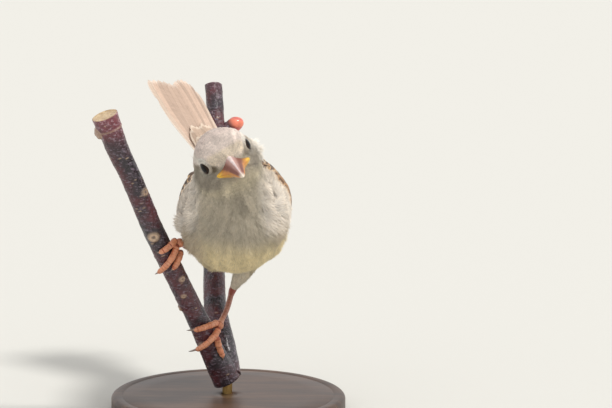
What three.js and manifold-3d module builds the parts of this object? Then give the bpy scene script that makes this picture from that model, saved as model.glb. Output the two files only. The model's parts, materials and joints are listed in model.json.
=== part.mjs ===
// A juvenile house sparrow, life size, clinging to a forked twig on a plain display stand.
// Millimetres, +Z up. The breast faces -Y and the bird's left side is on +X.
// The origin is the middle of the underside of the stand's base.
//
// The fleshy parts are one smooth form, built up from egg-shaped masses that melt into each other,
// meshed once and then parted with thin plane cuts. Bill, eyes, wings, tail and legs are fitted to it.

import * as THREE from "three";
import { mergeVertices } from "three/addons/utils/BufferGeometryUtils.js";
import Module from "manifold-3d";

// ---------------------------------------------------------------- driving dimensions

const GAP = 0.3; // clearance between neighbouring pieces
const VIEW_RISE = 12; // degrees that the bird looks up from level, towards a viewer a little above it

const TRUNK = { at: [2.1, 2, 70.2], yaw: 3, pitch: 3, roll: -12 };
const HEAD = { at: [-1.2, -25, 98.4], roll: -30, yaw: 7, pitch: 20 };
const TAIL = { root: [0, 33, 7], length: 52.5, rootWidth: 15.5, midWidth: 19.2, tipWidth: 20.4, thickness: 1.7 };
const TAIL_DIRECTION = [-0.387, 0.745, 0.543]; // in the part's frame, up and back to the bird's right
const WING = { front: { left: -17, right: -13 }, back: 50, thickness: 2.1 };
const EYE = { radius: 3.3, at: [6.5, -4.6, 1.3] };
const BILL = { root: -5.5, base: -8.6, tip: -21.6, halfWidth: 4.4, upper: 5.6, lower: 3.3, gape: -2.4, flange: 2.3 };
const LEG = { tarsus: 0.95, ankle: 1.35, ball: 1.75, toe: 1.25, toeTip: 0.95, claw: 0.62, clawTip: 0.28 };
const STAND = { radius: 42, thickness: 6, bevel: 1.2, rodRadius: 1.8, rodInset: 4 };

const CELL = 3.4; // edge of the cells that the fleshy form is meshed with

// ---------------------------------------------------------------- small helpers

const radians = THREE.MathUtils.degToRad;
const lerp = THREE.MathUtils.lerp;
const smoothstep = THREE.MathUtils.smoothstep;
const vector = (a) => new THREE.Vector3(...a);

// A frame at a place, turned by a list of [axis, degrees], the last of which acts first.
function frameAt(place, turns = []) {
  const frame = new THREE.Matrix4();
  for (const [axis, degrees] of turns) {
    const turn = new THREE.Matrix4();
    turn["makeRotation" + axis.toUpperCase()](radians(degrees));
    frame.multiply(turn);
  }
  return frame.setPosition(vector(place));
}

// A value that runs smoothly through [place, value] stations.
function profile(stations) {
  return (place) => {
    if (place <= stations[0][0]) return stations[0][1];
    for (let i = 1; i < stations.length; i++) {
      const [from, low] = stations[i - 1];
      const [to, high] = stations[i];
      if (place <= to) return lerp(low, high, smoothstep(place, from, to) * 0.5 + ((place - from) / (to - from)) * 0.5);
    }
    return stations[stations.length - 1][1];
  };
}

const trunkFrame = frameAt(TRUNK.at, [["z", TRUNK.yaw], ["x", TRUNK.pitch], ["y", TRUNK.roll]]);
const headFrame = frameAt(HEAD.at, [["x", -VIEW_RISE], ["y", HEAD.roll], ["z", HEAD.yaw], ["x", HEAD.pitch]]);
const tailRoot = vector(TAIL.root).applyMatrix4(trunkFrame);
const tailFrame = facing(tailRoot, vector(TAIL_DIRECTION), -12);

// A frame whose +Y runs along a direction, with its +Z as near up as it can be and then rolled.
function facing(place, direction, rollDegrees) {
  const along = direction.clone().normalize();
  const side = along.clone().cross(new THREE.Vector3(0, 0, 1)).normalize();
  const up = side.clone().cross(along);
  const roll = new THREE.Matrix4().makeRotationY(-radians(rollDegrees));
  return new THREE.Matrix4().makeBasis(side, along, up).multiply(roll).setPosition(place);
}

// ---------------------------------------------------------------- the fleshy form as a distance field

// An egg-shaped mass: distance from its surface, near enough close to it.
function egg(frame, at, radii, tilt = 0) {
  const toLocal = frame.clone().multiply(frameAt(at, [["x", tilt]])).invert();
  const r = vector(radii);
  const squared = r.clone().multiply(r);
  return (p) => {
    const q = p.clone().applyMatrix4(toLocal);
    const k0 = q.clone().divide(r).length();
    const k1 = q.divide(squared).length();
    return k1 < 1e-9 ? -Math.min(...radii) : (k0 * (k0 - 1)) / k1;
  };
}

// A limb-shaped mass between two places of the part's frame, with a radius at each.
function limb(from, to, fromRadius, toRadius) {
  const along = to.clone().sub(from);
  const squared = along.lengthSq();
  return (p) => {
    const share = THREE.MathUtils.clamp(p.clone().sub(from).dot(along) / squared, 0, 1);
    return p.distanceTo(from.clone().addScaledVector(along, share)) - lerp(fromRadius, toRadius, share);
  };
}

// Joins masses so that they melt into each other over a blend width.
function melt(masses, width) {
  return (p) =>
    masses.reduce((least, mass) => {
      const d = mass(p);
      const h = Math.max(width - Math.abs(least - d), 0) / width;
      return Math.min(least, d) - (h * h * width) / 4;
    }, 1e3);
}

const inTrunk = (x, y, z) => new THREE.Vector3(x, y, z).applyMatrix4(trunkFrame);
const inTail = (x, y, z) => new THREE.Vector3(x, y, z).applyMatrix4(tailFrame);
const inHead = (x, y, z) => new THREE.Vector3(x, y, z).applyMatrix4(headFrame);

const headMasses = [
  egg(headFrame, [0, 1.5, 0.6], [9.5, 11.6, 9.4]), // cranium
  egg(headFrame, [4.2, 1.4, -4.2], [5.6, 8.2, 6]), // left cheek
  egg(headFrame, [-4.2, 1.4, -4.2], [5.6, 8.2, 6]), // right cheek
  egg(headFrame, [0, -4.5, -0.7], [5.5, 6.0, 5.2], 12), // forehead and lores, narrowing to the bill
  egg(headFrame, [0, -2.2, -6.2], [6.2, 6.8, 4.6], -14), // chin
  egg(headFrame, [5.7, -3.6, 4.9], [2.4, 4.2, 1.6], 14), // left brow
  egg(headFrame, [-5.7, -3.6, 4.9], [2.4, 4.2, 1.6], 14), // right brow
];
const neckMasses = [
  limb(inHead(0, 4, -4.5), inTrunk(0, -11, 5), 11.2, 17),
  limb(inHead(0, -0.5, -5.5), inTrunk(0, -15, 0), 7.6, 13), // throat and crop
];
const trunkMasses = [
  egg(trunkFrame, [0, -9.5, -1], [17.8, 17.5, 17]), // breast
  egg(trunkFrame, [0, 5, -3.8], [16, 22.5, 16.4]), // belly
  egg(trunkFrame, [0, 4, 4.2], [15.6, 27, 13.6]), // back
  egg(trunkFrame, [0, 25, 2.2], [10.6, 16, 9.2], 14), // rump and vent
  egg(tailFrame, [0, 4, -0.2], [7.6, 14, 4.2]), // tail coverts
  limb(inTrunk(0, 17, -4), inTail(0, 15, -1.6), 10.5, 3.4), // feathers under the tail
];
const bodyField = melt([...headMasses, ...neckMasses, ...trunkMasses], 5);

const HIPS = { left: [8.2, 6, -11], right: [-8.8, 3, -10.5] };
const ANKLES = { left: [1.5, 13.4, 41.4], right: [-15.2, 11.5, 58.2] };
const thighField = (side) =>
  melt(
    [
      limb(inTrunk(...HIPS[side]), vector(ANKLES[side]), 8.2, LEG.ankle + 0.35),
      egg(trunkFrame, HIPS[side], [7.5, 10, 8.5]),
    ],
    3,
  );

// Meshes the surface where a field is 0: one vertex for each cell that it crosses, one quad for each grid edge.
function surfaceNet(field, low, high, cell) {
  const count = [0, 1, 2].map((i) => Math.ceil((high[i] - low[i]) / cell) + 1);
  const step = [1, count[0], count[0] * count[1]];
  const place = (i, j, k) => new THREE.Vector3(low[0] + i * cell, low[1] + j * cell, low[2] + k * cell);
  const values = new Float32Array(count[0] * count[1] * count[2]);
  const eachPoint = (visit) => {
    for (let k = 0; k < count[2]; k++)
      for (let j = 0; j < count[1]; j++)
        for (let i = 0; i < count[0]; i++) visit(i, j, k, i + j * step[1] + k * step[2]);
  };
  eachPoint((i, j, k, n) => (values[n] = field(place(i, j, k))));

  const vertices = [];
  const vertexOf = new Int32Array(values.length).fill(-1);
  eachPoint((i, j, k, n) => {
    if (i + 1 >= count[0] || j + 1 >= count[1] || k + 1 >= count[2]) return;
    const middle = new THREE.Vector3();
    let crossings = 0;
    for (let axis = 0; axis < 3; axis++)
      for (let corner = 0; corner < 4; corner++) {
        const start = [0, 0, 0];
        start[(axis + 1) % 3] = corner & 1;
        start[(axis + 2) % 3] = corner >> 1;
        const a = n + start[0] * step[0] + start[1] * step[1] + start[2] * step[2];
        const from = values[a];
        const to = values[a + step[axis]];
        if (from < 0 === to < 0) continue;
        const point = [i + start[0], j + start[1], k + start[2]];
        point[axis] += from / (from - to);
        middle.add(place(...point));
        crossings++;
      }
    if (!crossings) return;
    vertexOf[n] = vertices.length;
    vertices.push(ontoSurface(field, middle.divideScalar(crossings), 0));
  });

  const triangles = [];
  eachPoint((i, j, k, n) => {
    for (let axis = 0; axis < 3; axis++) {
      const index = [i, j, k];
      const [u, v] = [(axis + 1) % 3, (axis + 2) % 3];
      if (index[axis] + 1 >= count[axis] || !index[u] || !index[v]) continue;
      const inside = values[n] < 0;
      if (inside === values[n + step[axis]] < 0) continue;
      const quad = [n - step[u] - step[v], n - step[v], n, n - step[u]].map((m) => vertexOf[m]);
      if (!inside) quad.reverse();
      const [a, b, c, d] = quad;
      const split = vertices[a].distanceToSquared(vertices[c]) < vertices[b].distanceToSquared(vertices[d]);
      triangles.push(...(split ? [a, b, c, a, c, d] : [a, b, d, b, c, d]));
    }
  });
  return indexed(vertices, triangles);
}

// Which way is out of a field's surface at a point.
function outOf(field, p) {
  const h = 0.05;
  return new THREE.Vector3(
    ...[0, 1, 2].map((i) => {
      const ahead = p.clone().setComponent(i, p.getComponent(i) + h);
      const behind = p.clone().setComponent(i, p.getComponent(i) - h);
      return (field(ahead) - field(behind)) / (2 * h);
    }),
  );
}

// Moves a point to where the field has a value, along the field's slope.
function ontoSurface(field, p, value) {
  for (let round = 0; round < 3; round++) {
    const slope = outOf(field, p);
    p.addScaledVector(slope, (value - field(p)) / Math.max(slope.lengthSq(), 0.2));
  }
  return p;
}

// ---------------------------------------------------------------- meshes and booleans

function indexed(points, triangles) {
  const geometry = new THREE.BufferGeometry().setFromPoints(points);
  geometry.setIndex(triangles);
  return geometry;
}

// Turns a closed mesh's faces outwards, whichever way they were listed.
function facingOut(geometry) {
  const index = geometry.index.array;
  const at = (n) => new THREE.Vector3().fromBufferAttribute(geometry.attributes.position, index[n]);
  let volume = 0;
  for (let i = 0; i < index.length; i += 3) volume += at(i).dot(at(i + 1).cross(at(i + 2)));
  if (volume < 0) for (let i = 0; i < index.length; i += 3) [index[i], index[i + 1]] = [index[i + 1], index[i]];
  return geometry;
}

const wasm = await Module();
wasm.setup();

function solid(geometry) {
  const bare = geometry.index ? geometry.clone() : geometry.clone();
  bare.deleteAttribute("normal");
  bare.deleteAttribute("uv");
  const merged = facingOut(mergeVertices(bare, 1e-4));
  const mesh = new wasm.Mesh({
    numProp: 3,
    vertProperties: new Float32Array(merged.attributes.position.array),
    triVerts: new Uint32Array(merged.index.array),
  });
  return new wasm.Manifold(mesh);
}

// The geometry of a solid's largest body, so that no loose sliver of a cut is kept.
function geometryOf(made) {
  const bodies = made.simplify(0.05).decompose().sort((a, b) => b.volume() - a.volume());
  const mesh = bodies[0].getMesh();
  const points = [];
  for (let i = 0; i < mesh.numVert; i++)
    points.push(new THREE.Vector3().fromArray(mesh.vertProperties, i * mesh.numProp));
  return indexed(points, [...mesh.triVerts]);
}

// A large block on the far side of a plane, which starts at a distance from it.
function halfSpace(point, normal, distance) {
  const size = 300;
  const block = new THREE.BoxGeometry(size, size, size).translate(0, 0, size / 2 + distance);
  const turn = new THREE.Quaternion().setFromUnitVectors(new THREE.Vector3(0, 0, 1), normal.clone().normalize());
  return solid(block.applyQuaternion(turn).translate(point.x, point.y, point.z));
}

// Joins rings of points, each with the same number, into a closed skin with a fan at each end.
function loft(rings) {
  const sides = rings[0].length;
  const points = rings.flat();
  const triangles = [];
  for (let r = 0; r + 1 < rings.length; r++)
    for (let s = 0; s < sides; s++) {
      const [a, b] = [r * sides + s, r * sides + ((s + 1) % sides)];
      triangles.push(a, b, b + sides, a, b + sides, a + sides);
    }
  for (const [ring, reversed] of [[0, true], [rings.length - 1, false]]) {
    const centre = rings[ring].reduce((sum, p) => sum.add(p), new THREE.Vector3()).divideScalar(sides);
    points.push(centre);
    for (let s = 0; s < sides; s++) {
      const [a, b] = [ring * sides + s, ring * sides + ((s + 1) % sides)];
      triangles.push(...(reversed ? [b, a, points.length - 1] : [a, b, points.length - 1]));
    }
  }
  return facingOut(indexed(points, triangles));
}

// A round bar along a curve, whose radius is a function of the share of the way along.
function bar(curve, radiusAt, steps, sides) {
  const frames = curve.computeFrenetFrames(steps, false);
  const rings = [];
  for (let i = 0; i <= steps; i++) {
    const centre = curve.getPointAt(i / steps);
    rings.push(
      Array.from({ length: sides }, (_, s) => {
        const angle = (2 * Math.PI * s) / sides;
        return centre
          .clone()
          .addScaledVector(frames.normals[i], Math.cos(angle) * radiusAt(i / steps))
          .addScaledVector(frames.binormals[i], Math.sin(angle) * radiusAt(i / steps));
      }),
    );
  }
  return loft(rings);
}

// A plate between two skins, given for shares u across it and v along it.
function plate(columns, rows, skinsAt) {
  const skins = [[], []];
  for (let v = 0; v <= rows; v++)
    for (let u = 0; u <= columns; u++) skinsAt(u / columns, v / rows).forEach((p, n) => skins[n].push(p));
  const wide = columns + 1;
  const under = skins[0].length;
  const triangles = [];
  const quad = (a, b, c, d) => triangles.push(a, b, c, a, c, d);
  for (let v = 0; v < rows; v++)
    for (let u = 0; u < columns; u++) {
      const a = v * wide + u;
      quad(a, a + 1, a + 1 + wide, a + wide);
      quad(under + a + wide, under + a + wide + 1, under + a + 1, under + a);
    }
  const wall = (a, b) => quad(b, a, under + a, under + b);
  for (let u = 0; u < columns; u++) {
    wall(u, u + 1);
    wall(rows * wide + u + 1, rows * wide + u);
  }
  for (let v = 0; v < rows; v++) {
    wall((v + 1) * wide, v * wide);
    wall(v * wide + columns, (v + 1) * wide + columns);
  }
  return facingOut(indexed(skins.flat(), triangles));
}

const fromPoints = (points) => new THREE.CatmullRomCurve3(points, false, "centripetal");

// ---------------------------------------------------------------- materials and the scene graph

const COLOURS = {
  crown: 0x8f8172,
  breast: 0xa39a86,
  wing: 0x7a5a3c,
  tail: 0xa58d74,
  bill: 0xb08d84,
  eye: 0x120d0a,
  leg: 0xc9744e,
  claw: 0x8d7e78,
  bark: 0x33201f,
  stand: 0x2c2a28,
  rod: 0x9a8f7c,
};
const finishes = {};
for (const [name, color] of Object.entries(COLOURS)) {
  const metalness = name === "rod" ? 1 : 0;
  const roughness = name === "eye" ? 0.08 : name === "rod" ? 0.35 : 0.8;
  finishes[name] = new THREE.MeshStandardMaterial({ color, roughness, metalness });
}

const part = new THREE.Group();
const groups = {};
for (const name of ["bird", "legs", "perch", "stand"]) {
  groups[name] = new THREE.Group();
  part.add(groups[name]);
}

function add(group, name, geometry, finish) {
  const mesh = new THREE.Mesh(geometry, finishes[finish]);
  mesh.name = name;
  groups[group].add(mesh);
}

// ---------------------------------------------------------------- head, neck and trunk

const BODY_BOX = [[-26, -48, 42], [30, 62, 116]];
const whole = solid(surfaceNet(bodyField, ...BODY_BOX, CELL));
const grown = solid(surfaceNet((p) => bodyField(p) - GAP - 0.1, ...BODY_BOX, CELL));

function eyeSolid(side, extra) {
  const [x, y, z] = EYE.at;
  const ball = new THREE.SphereGeometry(EYE.radius + extra, 11, 8);
  const place = inHead(side * x, y, z);
  return solid(ball.translate(place.x, place.y, place.z));
}

function makeBody() {
  const throat = inHead(0, 6, -8.5);
  const throatWay = inTrunk(0, -12, 6).sub(inHead(0, 0, 0));
  const collar = inTrunk(0, -16, 9);
  const collarWay = inTrunk(0, -4, 0).sub(inHead(0, 2, -2));
  let head = whole.intersect(halfSpace(throat, throatWay.clone().negate(), GAP / 2));
  for (const side of [1, -1]) head = head.subtract(eyeSolid(side, GAP));
  const neck = whole
    .intersect(halfSpace(throat, throatWay, GAP / 2))
    .intersect(halfSpace(collar, collarWay.clone().negate(), GAP / 2));
  add("bird", "head", geometryOf(head), "crown");
  add("bird", "neck", geometryOf(neck), "crown");
  add("bird", "trunk", geometryOf(whole.intersect(halfSpace(collar, collarWay, GAP / 2))), "breast");
}

function makeEyes() {
  add("bird", "eye_left", geometryOf(eyeSolid(1, 0)), "eye");
  add("bird", "eye_right", geometryOf(eyeSolid(-1, 0)), "eye");
}

// ---------------------------------------------------------------- bill

// Half of the bill, above (+1) or below (-1) the line where the mandibles meet. The young bird's
// soft flange stands out from that line at the corners of the gape.
function mandible(level) {
  const height = level > 0 ? BILL.upper : BILL.lower;
  const tip = level > 0 ? BILL.tip : BILL.tip + 1.2;
  const rings = [];
  const steps = 9;
  for (let i = 0; i <= steps; i++) {
    const y = lerp(BILL.root, tip, i / steps);
    const share = Math.max(0, (BILL.base - y) / (BILL.base - tip)); // 0 at the feathers, 1 at the tip
    const narrowing = Math.pow(Math.max(1 - share, 0), 0.68) * 0.95 + 0.05;
    const flange = BILL.flange * (1 - smoothstep(share, 0.02, 0.42));
    const line = BILL.gape + 0.5 * Math.sin(Math.PI * share) - 0.6 * share;
    const ring = [];
    for (let s = 0; s <= 8; s++) {
      const angle = (Math.PI * s) / 8;
      const c = Math.cos(angle);
      const x = c * BILL.halfWidth * narrowing + Math.sign(c) * flange * Math.abs(c) ** 6;
      ring.push(inHead(x, y, line + level * (Math.sin(angle) * height * narrowing ** 1.1 + GAP / 2)));
    }
    rings.push(ring);
  }
  return solid(loft(rings)).subtract(grown);
}

// ---------------------------------------------------------------- wings

const wingTop = profile([[0, 20], [0.04, 40], [0.14, 58], [0.34, 67], [0.55, 60], [0.75, 46], [1, 28]]);
const wingBottom = profile([[0, 4], [0.04, -10], [0.14, -24], [0.32, -31], [0.55, -24], [0.75, -10], [1, 8]]);
const wingReach = profile([[0, 15], [0.35, 17.5], [0.6, 13.5], [0.8, 10], [1, 7.4]]);
const wingThick = profile([[0, 0.9], [0.15, 1], [0.6, 0.9], [1, 0.5]]);

// How far out from a point the field rises to a value, along a direction.
function reachOf(field, from, way, value) {
  let [near, far] = [0, 40];
  for (let round = 0; round < 22; round++) {
    const middle = (near + far) / 2;
    if (field(from.clone().addScaledVector(way, middle)) < value) near = middle;
    else far = middle;
  }
  return near;
}

// A folded wing: a curved plate that lies on the flank and runs on past it to the wing's tip.
function wing(name, side, extra) {
  return plate(7, 14, (u, v) => {
    const y = lerp(WING.front[name], WING.back, v);
    const from = inTrunk(0, y, 1.5 + 5 * v * v);
    const bottom = wingBottom(v) * (side > 0 ? 1 : 0.55);
    const angle = radians(lerp(bottom - extra * 4, wingTop(v) + extra * 4, u));
    const way = inTrunk(side * Math.cos(angle), y, 1.5 + 5 * v * v + Math.sin(angle)).sub(from);
    const onBody = field0(from) ? reachOf(bodyField, from, way, GAP + 0.3) : 0;
    const inner = Math.max(onBody, wingReach(v));
    const edge = Math.sqrt(1 - 0.85 * (2 * u - 1) ** 2);
    const outer = inner + WING.thickness * wingThick(v) * edge;
    return [outer + extra, inner - extra].map((distance) => from.clone().addScaledVector(way, distance));
  });
}
const field0 = (p) => bodyField(p) < 0;

// ---------------------------------------------------------------- tail

// The twelve tail feathers as one shallow roof, a little fanned. Its end is notched off the middle, and
// the outermost feather of the bird's left side has slipped back under the others.
const tailShort = profile([[-1, 2.1], [-0.9, 1.2], [-0.6, 2], [-0.11, 3.9], [0.2, 1.2], [0.47, 0], [0.82, 1.9], [0.94, 5.5], [1, 9]]);
const tailWidth = profile([[0, TAIL.rootWidth], [0.4, TAIL.midWidth], [1, TAIL.tipWidth]]);

function tail() {
  return plate(12, 12, (u, v) => {
    const across = 2 * u - 1;
    const y = v * (TAIL.length - tailShort(across));
    const x = (across * tailWidth(v)) / 2;
    const roof = -1.6 * across * across * (0.4 + 0.6 * v);
    const half = (TAIL.thickness / 2) * (1 - 0.55 * Math.abs(across)) * (1 - 0.35 * v);
    const skin = (z) => new THREE.Vector3(x, y, z).applyMatrix4(tailFrame);
    return [skin(roof + half), skin(roof - half)];
  });
}

// ---------------------------------------------------------------- perch

const STEM = fromPoints(
  [
    [-0.6, 3, 10.6],
    [-5.2, 0.5, 20.6],
    [-9.6, -2.4, 31.4],
    [-15.2, -5.4, 43.6],
    [-20.8, -8.6, 56.0],
    [-27.0, -11.8, 70.0],
    [-34.0, -15.0, 88.0],
    [-38.6, -16.8, 98.5],
    [-43.4, -19.0, 111.8],
  ].map(vector),
);
const BRANCH = fromPoints(
  [
    [0.3, 3.6, 12.0],
    [-1.6, 10, 21.0],
    [-4.8, 20.5, 33.0],
    [-5.4, 31, 45.2],
    [-5.4, 50, 66.6],
    [-4.8, 67, 87.6],
    [-6.0, 78, 103.5],
  ].map(vector),
);
const stemRadius = profile([[0, 5.2], [0.12, 4.4], [0.26, 3.95], [0.8, 3.85], [0.92, 4.3], [1, 4.9]]);
const branchRadius = profile([[0, 4.4], [0.2, 4.2], [0.5, 3.9], [0.9, 3.2], [1, 3.3]]);

const KNOB = { at: [-44.7, -18.8, 106], radius: 2.5 }; // where a leaf's stalk has dropped
const SPUR = fromPoints([[-5.2, 68.5, 87.4], [-1, 69.6, 89.2], [4.4, 70.6, 91.8]].map(vector)); // a side twig, cut short

function makePerch(rod) {
  const knob = solid(new THREE.SphereGeometry(KNOB.radius, 8, 6).translate(...KNOB.at));
  const stem = solid(bar(STEM, stemRadius, 22, 10)).add(knob).subtract(rod);
  const stemGrown = bar(STEM, (t) => stemRadius(t) + GAP, 22, 10);
  const spur = bar(SPUR, (t) => lerp(2.6, 2.4, t), 3, 8);
  const branch = solid(bar(BRANCH, branchRadius, 20, 10)).add(solid(spur)).subtract(solid(stemGrown));
  add("perch", "perch_stem", geometryOf(stem), "bark");
  add("perch", "perch_branch", geometryOf(branch), "bark");
}

// ---------------------------------------------------------------- legs and feet

// Where each foot holds the stem: the millimetres up it, and each toe's wrap round it.
// A wrap runs from [degrees round the stem, millimetres up it] to another. 0 degrees is the bird's side
// and 90 the front; lift is how far the toe's end stands off the bark.
const FEET = {
  right: {
    up: 56.4,
    off: 1.2,
    toes: [
      { wrap: [[14, 2.4], [98, 2.0]], lift: 0.3 },
      { wrap: [[24, 0], [132, -4.8]], lift: 1.8 },
      { wrap: [[10, -2.9], [78, -5.8]], lift: 0.3 },
      { wrap: [[-26, -0.4], [-128, -1.4]], lift: 0.2 },
    ],
  },
  left: {
    up: 20.9,
    off: 0.5,
    toes: [
      { wrap: [[14, 2.2], [104, 5.2]], lift: 2.2 },
      { wrap: [[24, -0.2], [124, -2.4]], lift: 2.8 },
      { wrap: [[48, -2.4], [54, -9.8]], lift: 0.3 },
      { wrap: [[-26, -0.4], [-128, -1.4]], lift: 0.2 },
    ],
  },
};

// A point beside the stem: degrees round it, millimetres up it from the hold, and the distance from its axis.
function besideStem(hold, degrees, up, distance) {
  const share = hold + up / STEM.getLength();
  const centre = STEM.getPointAt(share);
  const axis = STEM.getTangentAt(share);
  const front = new THREE.Vector3(0, -1, 0).projectOnPlane(axis).normalize();
  const birdSide = front.clone().cross(axis).negate();
  const angle = radians(degrees);
  return centre
    .addScaledVector(birdSide, Math.cos(angle) * distance)
    .addScaledVector(front, Math.sin(angle) * distance);
}

// The route of a toe or, past its end, of its claw.
function toeRoute(hold, toe, fromShare, toShare, radius) {
  const points = [];
  const steps = 6;
  for (let i = 0; i <= steps; i++) {
    const share = lerp(fromShare, toShare, i / steps);
    const [[a0, s0], [a1, s1]] = toe.wrap;
    const arch = toe.lift * share * share + 0.8 * Math.max(0, 1 - share) ** 3;
    const stand = stemRadius(hold) + GAP + 0.1 + radius + arch;
    const past = Math.max(0, share - 1);
    points.push(besideStem(hold, lerp(a0, a1, share), lerp(s0, s1, share), stand - 5 * past * past));
  }
  return fromPoints(points);
}

const roundedEnds = (from, to, length) => (t) => {
  const fromEnd = Math.min(t, 1 - t) * length;
  const radius = lerp(from, to, t);
  return radius * (fromEnd < radius ? 0.45 + 0.55 * Math.sqrt(1 - (1 - fromEnd / radius) ** 2) : 1);
};

function makeLeg(side) {
  const { up, off, toes } = FEET[side];
  const hold = up / STEM.getLength();
  const stemAround = solid(bar(STEM, (t) => stemRadius(t) + GAP, 22, 10));
  const ball = besideStem(hold, -2, 0.2, stemRadius(hold) + LEG.ball + GAP + off);
  const ankle = vector(ANKLES[side]);
  const middle = ankle.clone().lerp(ball, 0.55).add(new THREE.Vector3(0.6, 0, 0));
  const shankRadius = profile([[0, LEG.ankle], [0.15, LEG.tarsus], [0.85, LEG.tarsus], [1, 1.3]]);
  const shank = (extra) => solid(bar(fromPoints([ankle, middle, ball]), (t) => shankRadius(t) + extra, 7, 7));
  const thigh = solid(surfaceNet(thighField(side), [-30, -20, 30], [30, 45, 80], 2.7));
  const thighCut = thigh.subtract(grown).subtract(wings[side]).subtract(shank(GAP));
  add("legs", "thigh_" + side, geometryOf(thighCut), "breast");

  const ballMade = (extra) => {
    const shape = new THREE.SphereGeometry(LEG.ball + extra, 8, 6);
    return solid(shape.translate(ball.x, ball.y, ball.z));
  };
  add("legs", "foot_" + side, geometryOf(ballMade(0)), "leg");
  add("legs", "tarsus_" + side, geometryOf(shank(0).subtract(ballMade(GAP))), "leg");

  let taken = ballMade(GAP);
  toes.forEach((toe, n) => {
    const route = toeRoute(hold, toe, 0, 1, LEG.toe);
    const length = route.getLength();
    const toeBar = (extra) => solid(bar(route, (t) => roundedEnds(LEG.toe, LEG.toeTip, length)(t) + extra, 9, 6));
    add("legs", `toe_${side}_${n + 1}`, geometryOf(toeBar(0).subtract(taken)), "leg");
    taken = taken.add(toeBar(GAP));
    const clawRoute = toeRoute(hold, toe, 0.97, 1.28, LEG.claw);
    const claw = solid(bar(clawRoute, (t) => lerp(LEG.claw, LEG.clawTip, t ** 1.3), 5, 5));
    add("legs", `claw_${side}_${n + 1}`, geometryOf(claw.subtract(toeBar(GAP)).subtract(stemAround)), "claw");
  });
}

// ---------------------------------------------------------------- stand

function makeStand() {
  const { radius, thickness, bevel } = STAND;
  const outline = [[0, 0], [radius, 0], [radius, thickness - bevel], [radius - bevel, thickness], [0, thickness]];
  const base = new THREE.LatheGeometry(outline.map((p) => new THREE.Vector2(...p)), 40).rotateX(Math.PI / 2);
  const foot = STEM.getPointAt(0);
  const rodEnd = foot.clone().addScaledVector(STEM.getTangentAt(0), STAND.rodInset);
  const rodBar = (extra) =>
    solid(bar(fromPoints([new THREE.Vector3(foot.x, foot.y, 2), foot.clone(), rodEnd]), () => STAND.rodRadius + extra, 4, 10));
  const baseSolid = solid(base);
  add("stand", "stand_base", geometryOf(baseSolid.subtract(rodBar(GAP))), "stand");
  add("stand", "stand_rod", geometryOf(rodBar(0)), "rod");
  return rodBar(GAP);
}

// ---------------------------------------------------------------- the part

makeBody();
makeEyes();
add("bird", "bill_upper", geometryOf(mandible(1)), "bill");
add("bird", "bill_lower", geometryOf(mandible(-1)), "bill");
const wings = {};
for (const [name, side] of [["left", 1], ["right", -1]]) {
  add("bird", "wing_" + name, geometryOf(solid(wing(name, side, 0)).subtract(grown)), "wing");
  wings[name] = solid(wing(name, side, GAP));
}
add("bird", "tail", geometryOf(solid(tail()).subtract(grown).subtract(wings.right)), "tail");
makePerch(makeStand());
makeLeg("left");
makeLeg("right");

export default part;
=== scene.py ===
# %% [markdown]
# # A house sparrow, just out of the nest, on a twig
# The real thing is a young bird, about 15 cm from bill to tail tip, that grips an upright twig and looks
# out over its shoulder. Here it is a life-size museum model on a plain display stand.
# The solid model gives every place and size. This lesson dresses it: one skin in place of the fleshy
# solids, a coat of many thousand small feathers over that skin, feathered wings and tail, a horn bill,
# scaled feet, and a twig with real bark. All sizes below are in millimetres unless a name says otherwise.

# %% Start from the solid frame
import json
import math

import bpy
import numpy as np

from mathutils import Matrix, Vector

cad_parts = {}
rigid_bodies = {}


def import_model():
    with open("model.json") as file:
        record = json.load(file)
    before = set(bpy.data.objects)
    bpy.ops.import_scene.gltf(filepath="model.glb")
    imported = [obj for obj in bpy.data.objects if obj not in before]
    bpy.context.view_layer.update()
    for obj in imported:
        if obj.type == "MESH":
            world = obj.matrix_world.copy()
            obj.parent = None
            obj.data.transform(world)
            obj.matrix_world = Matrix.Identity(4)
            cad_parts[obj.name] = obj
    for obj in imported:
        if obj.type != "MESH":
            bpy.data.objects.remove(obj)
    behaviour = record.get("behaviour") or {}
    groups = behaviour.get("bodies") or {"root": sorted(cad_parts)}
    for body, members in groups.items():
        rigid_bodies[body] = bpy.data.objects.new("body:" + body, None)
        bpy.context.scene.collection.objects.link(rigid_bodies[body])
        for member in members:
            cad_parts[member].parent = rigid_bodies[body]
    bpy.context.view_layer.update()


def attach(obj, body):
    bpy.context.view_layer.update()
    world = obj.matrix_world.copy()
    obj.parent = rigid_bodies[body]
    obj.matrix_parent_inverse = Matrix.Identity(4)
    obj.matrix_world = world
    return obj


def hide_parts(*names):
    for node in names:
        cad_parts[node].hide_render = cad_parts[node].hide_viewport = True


for left_over in list(bpy.data.objects):  # a new Blender file holds a cube, a lamp and a camera
    bpy.data.objects.remove(left_over)
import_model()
MM = 0.001

# %% [markdown]
# ## Camera
# A small bird is best seen from several metres away through a long lens, so that its near and far parts
# keep almost the same scale. The camera here stands three metres off, a little above the bird, and looks
# down on it by twelve degrees. Depth of field stays off, so that every view is sharp.

# %% Camera
VIEW_DROP = math.radians(12)
LOOK_AT = np.array([27.86, 0.0, 75.75]) * MM
CAMERA_DISTANCE = 3.0

lens = bpy.data.cameras.new("long_lens")
lens.lens = 494.1  # millimetres, a very long lens
lens.sensor_width = 36
lens.clip_start = 0.1
lens.clip_end = 30
camera = bpy.data.objects.new("camera", lens)
bpy.context.collection.objects.link(camera)
camera.location = LOOK_AT + CAMERA_DISTANCE * np.array([0, -math.cos(VIEW_DROP), math.sin(VIEW_DROP)])
camera.rotation_euler = (math.radians(90) - VIEW_DROP, 0, 0)
bpy.context.scene.camera = camera
bpy.context.scene.view_settings.view_transform = "Standard"

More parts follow.
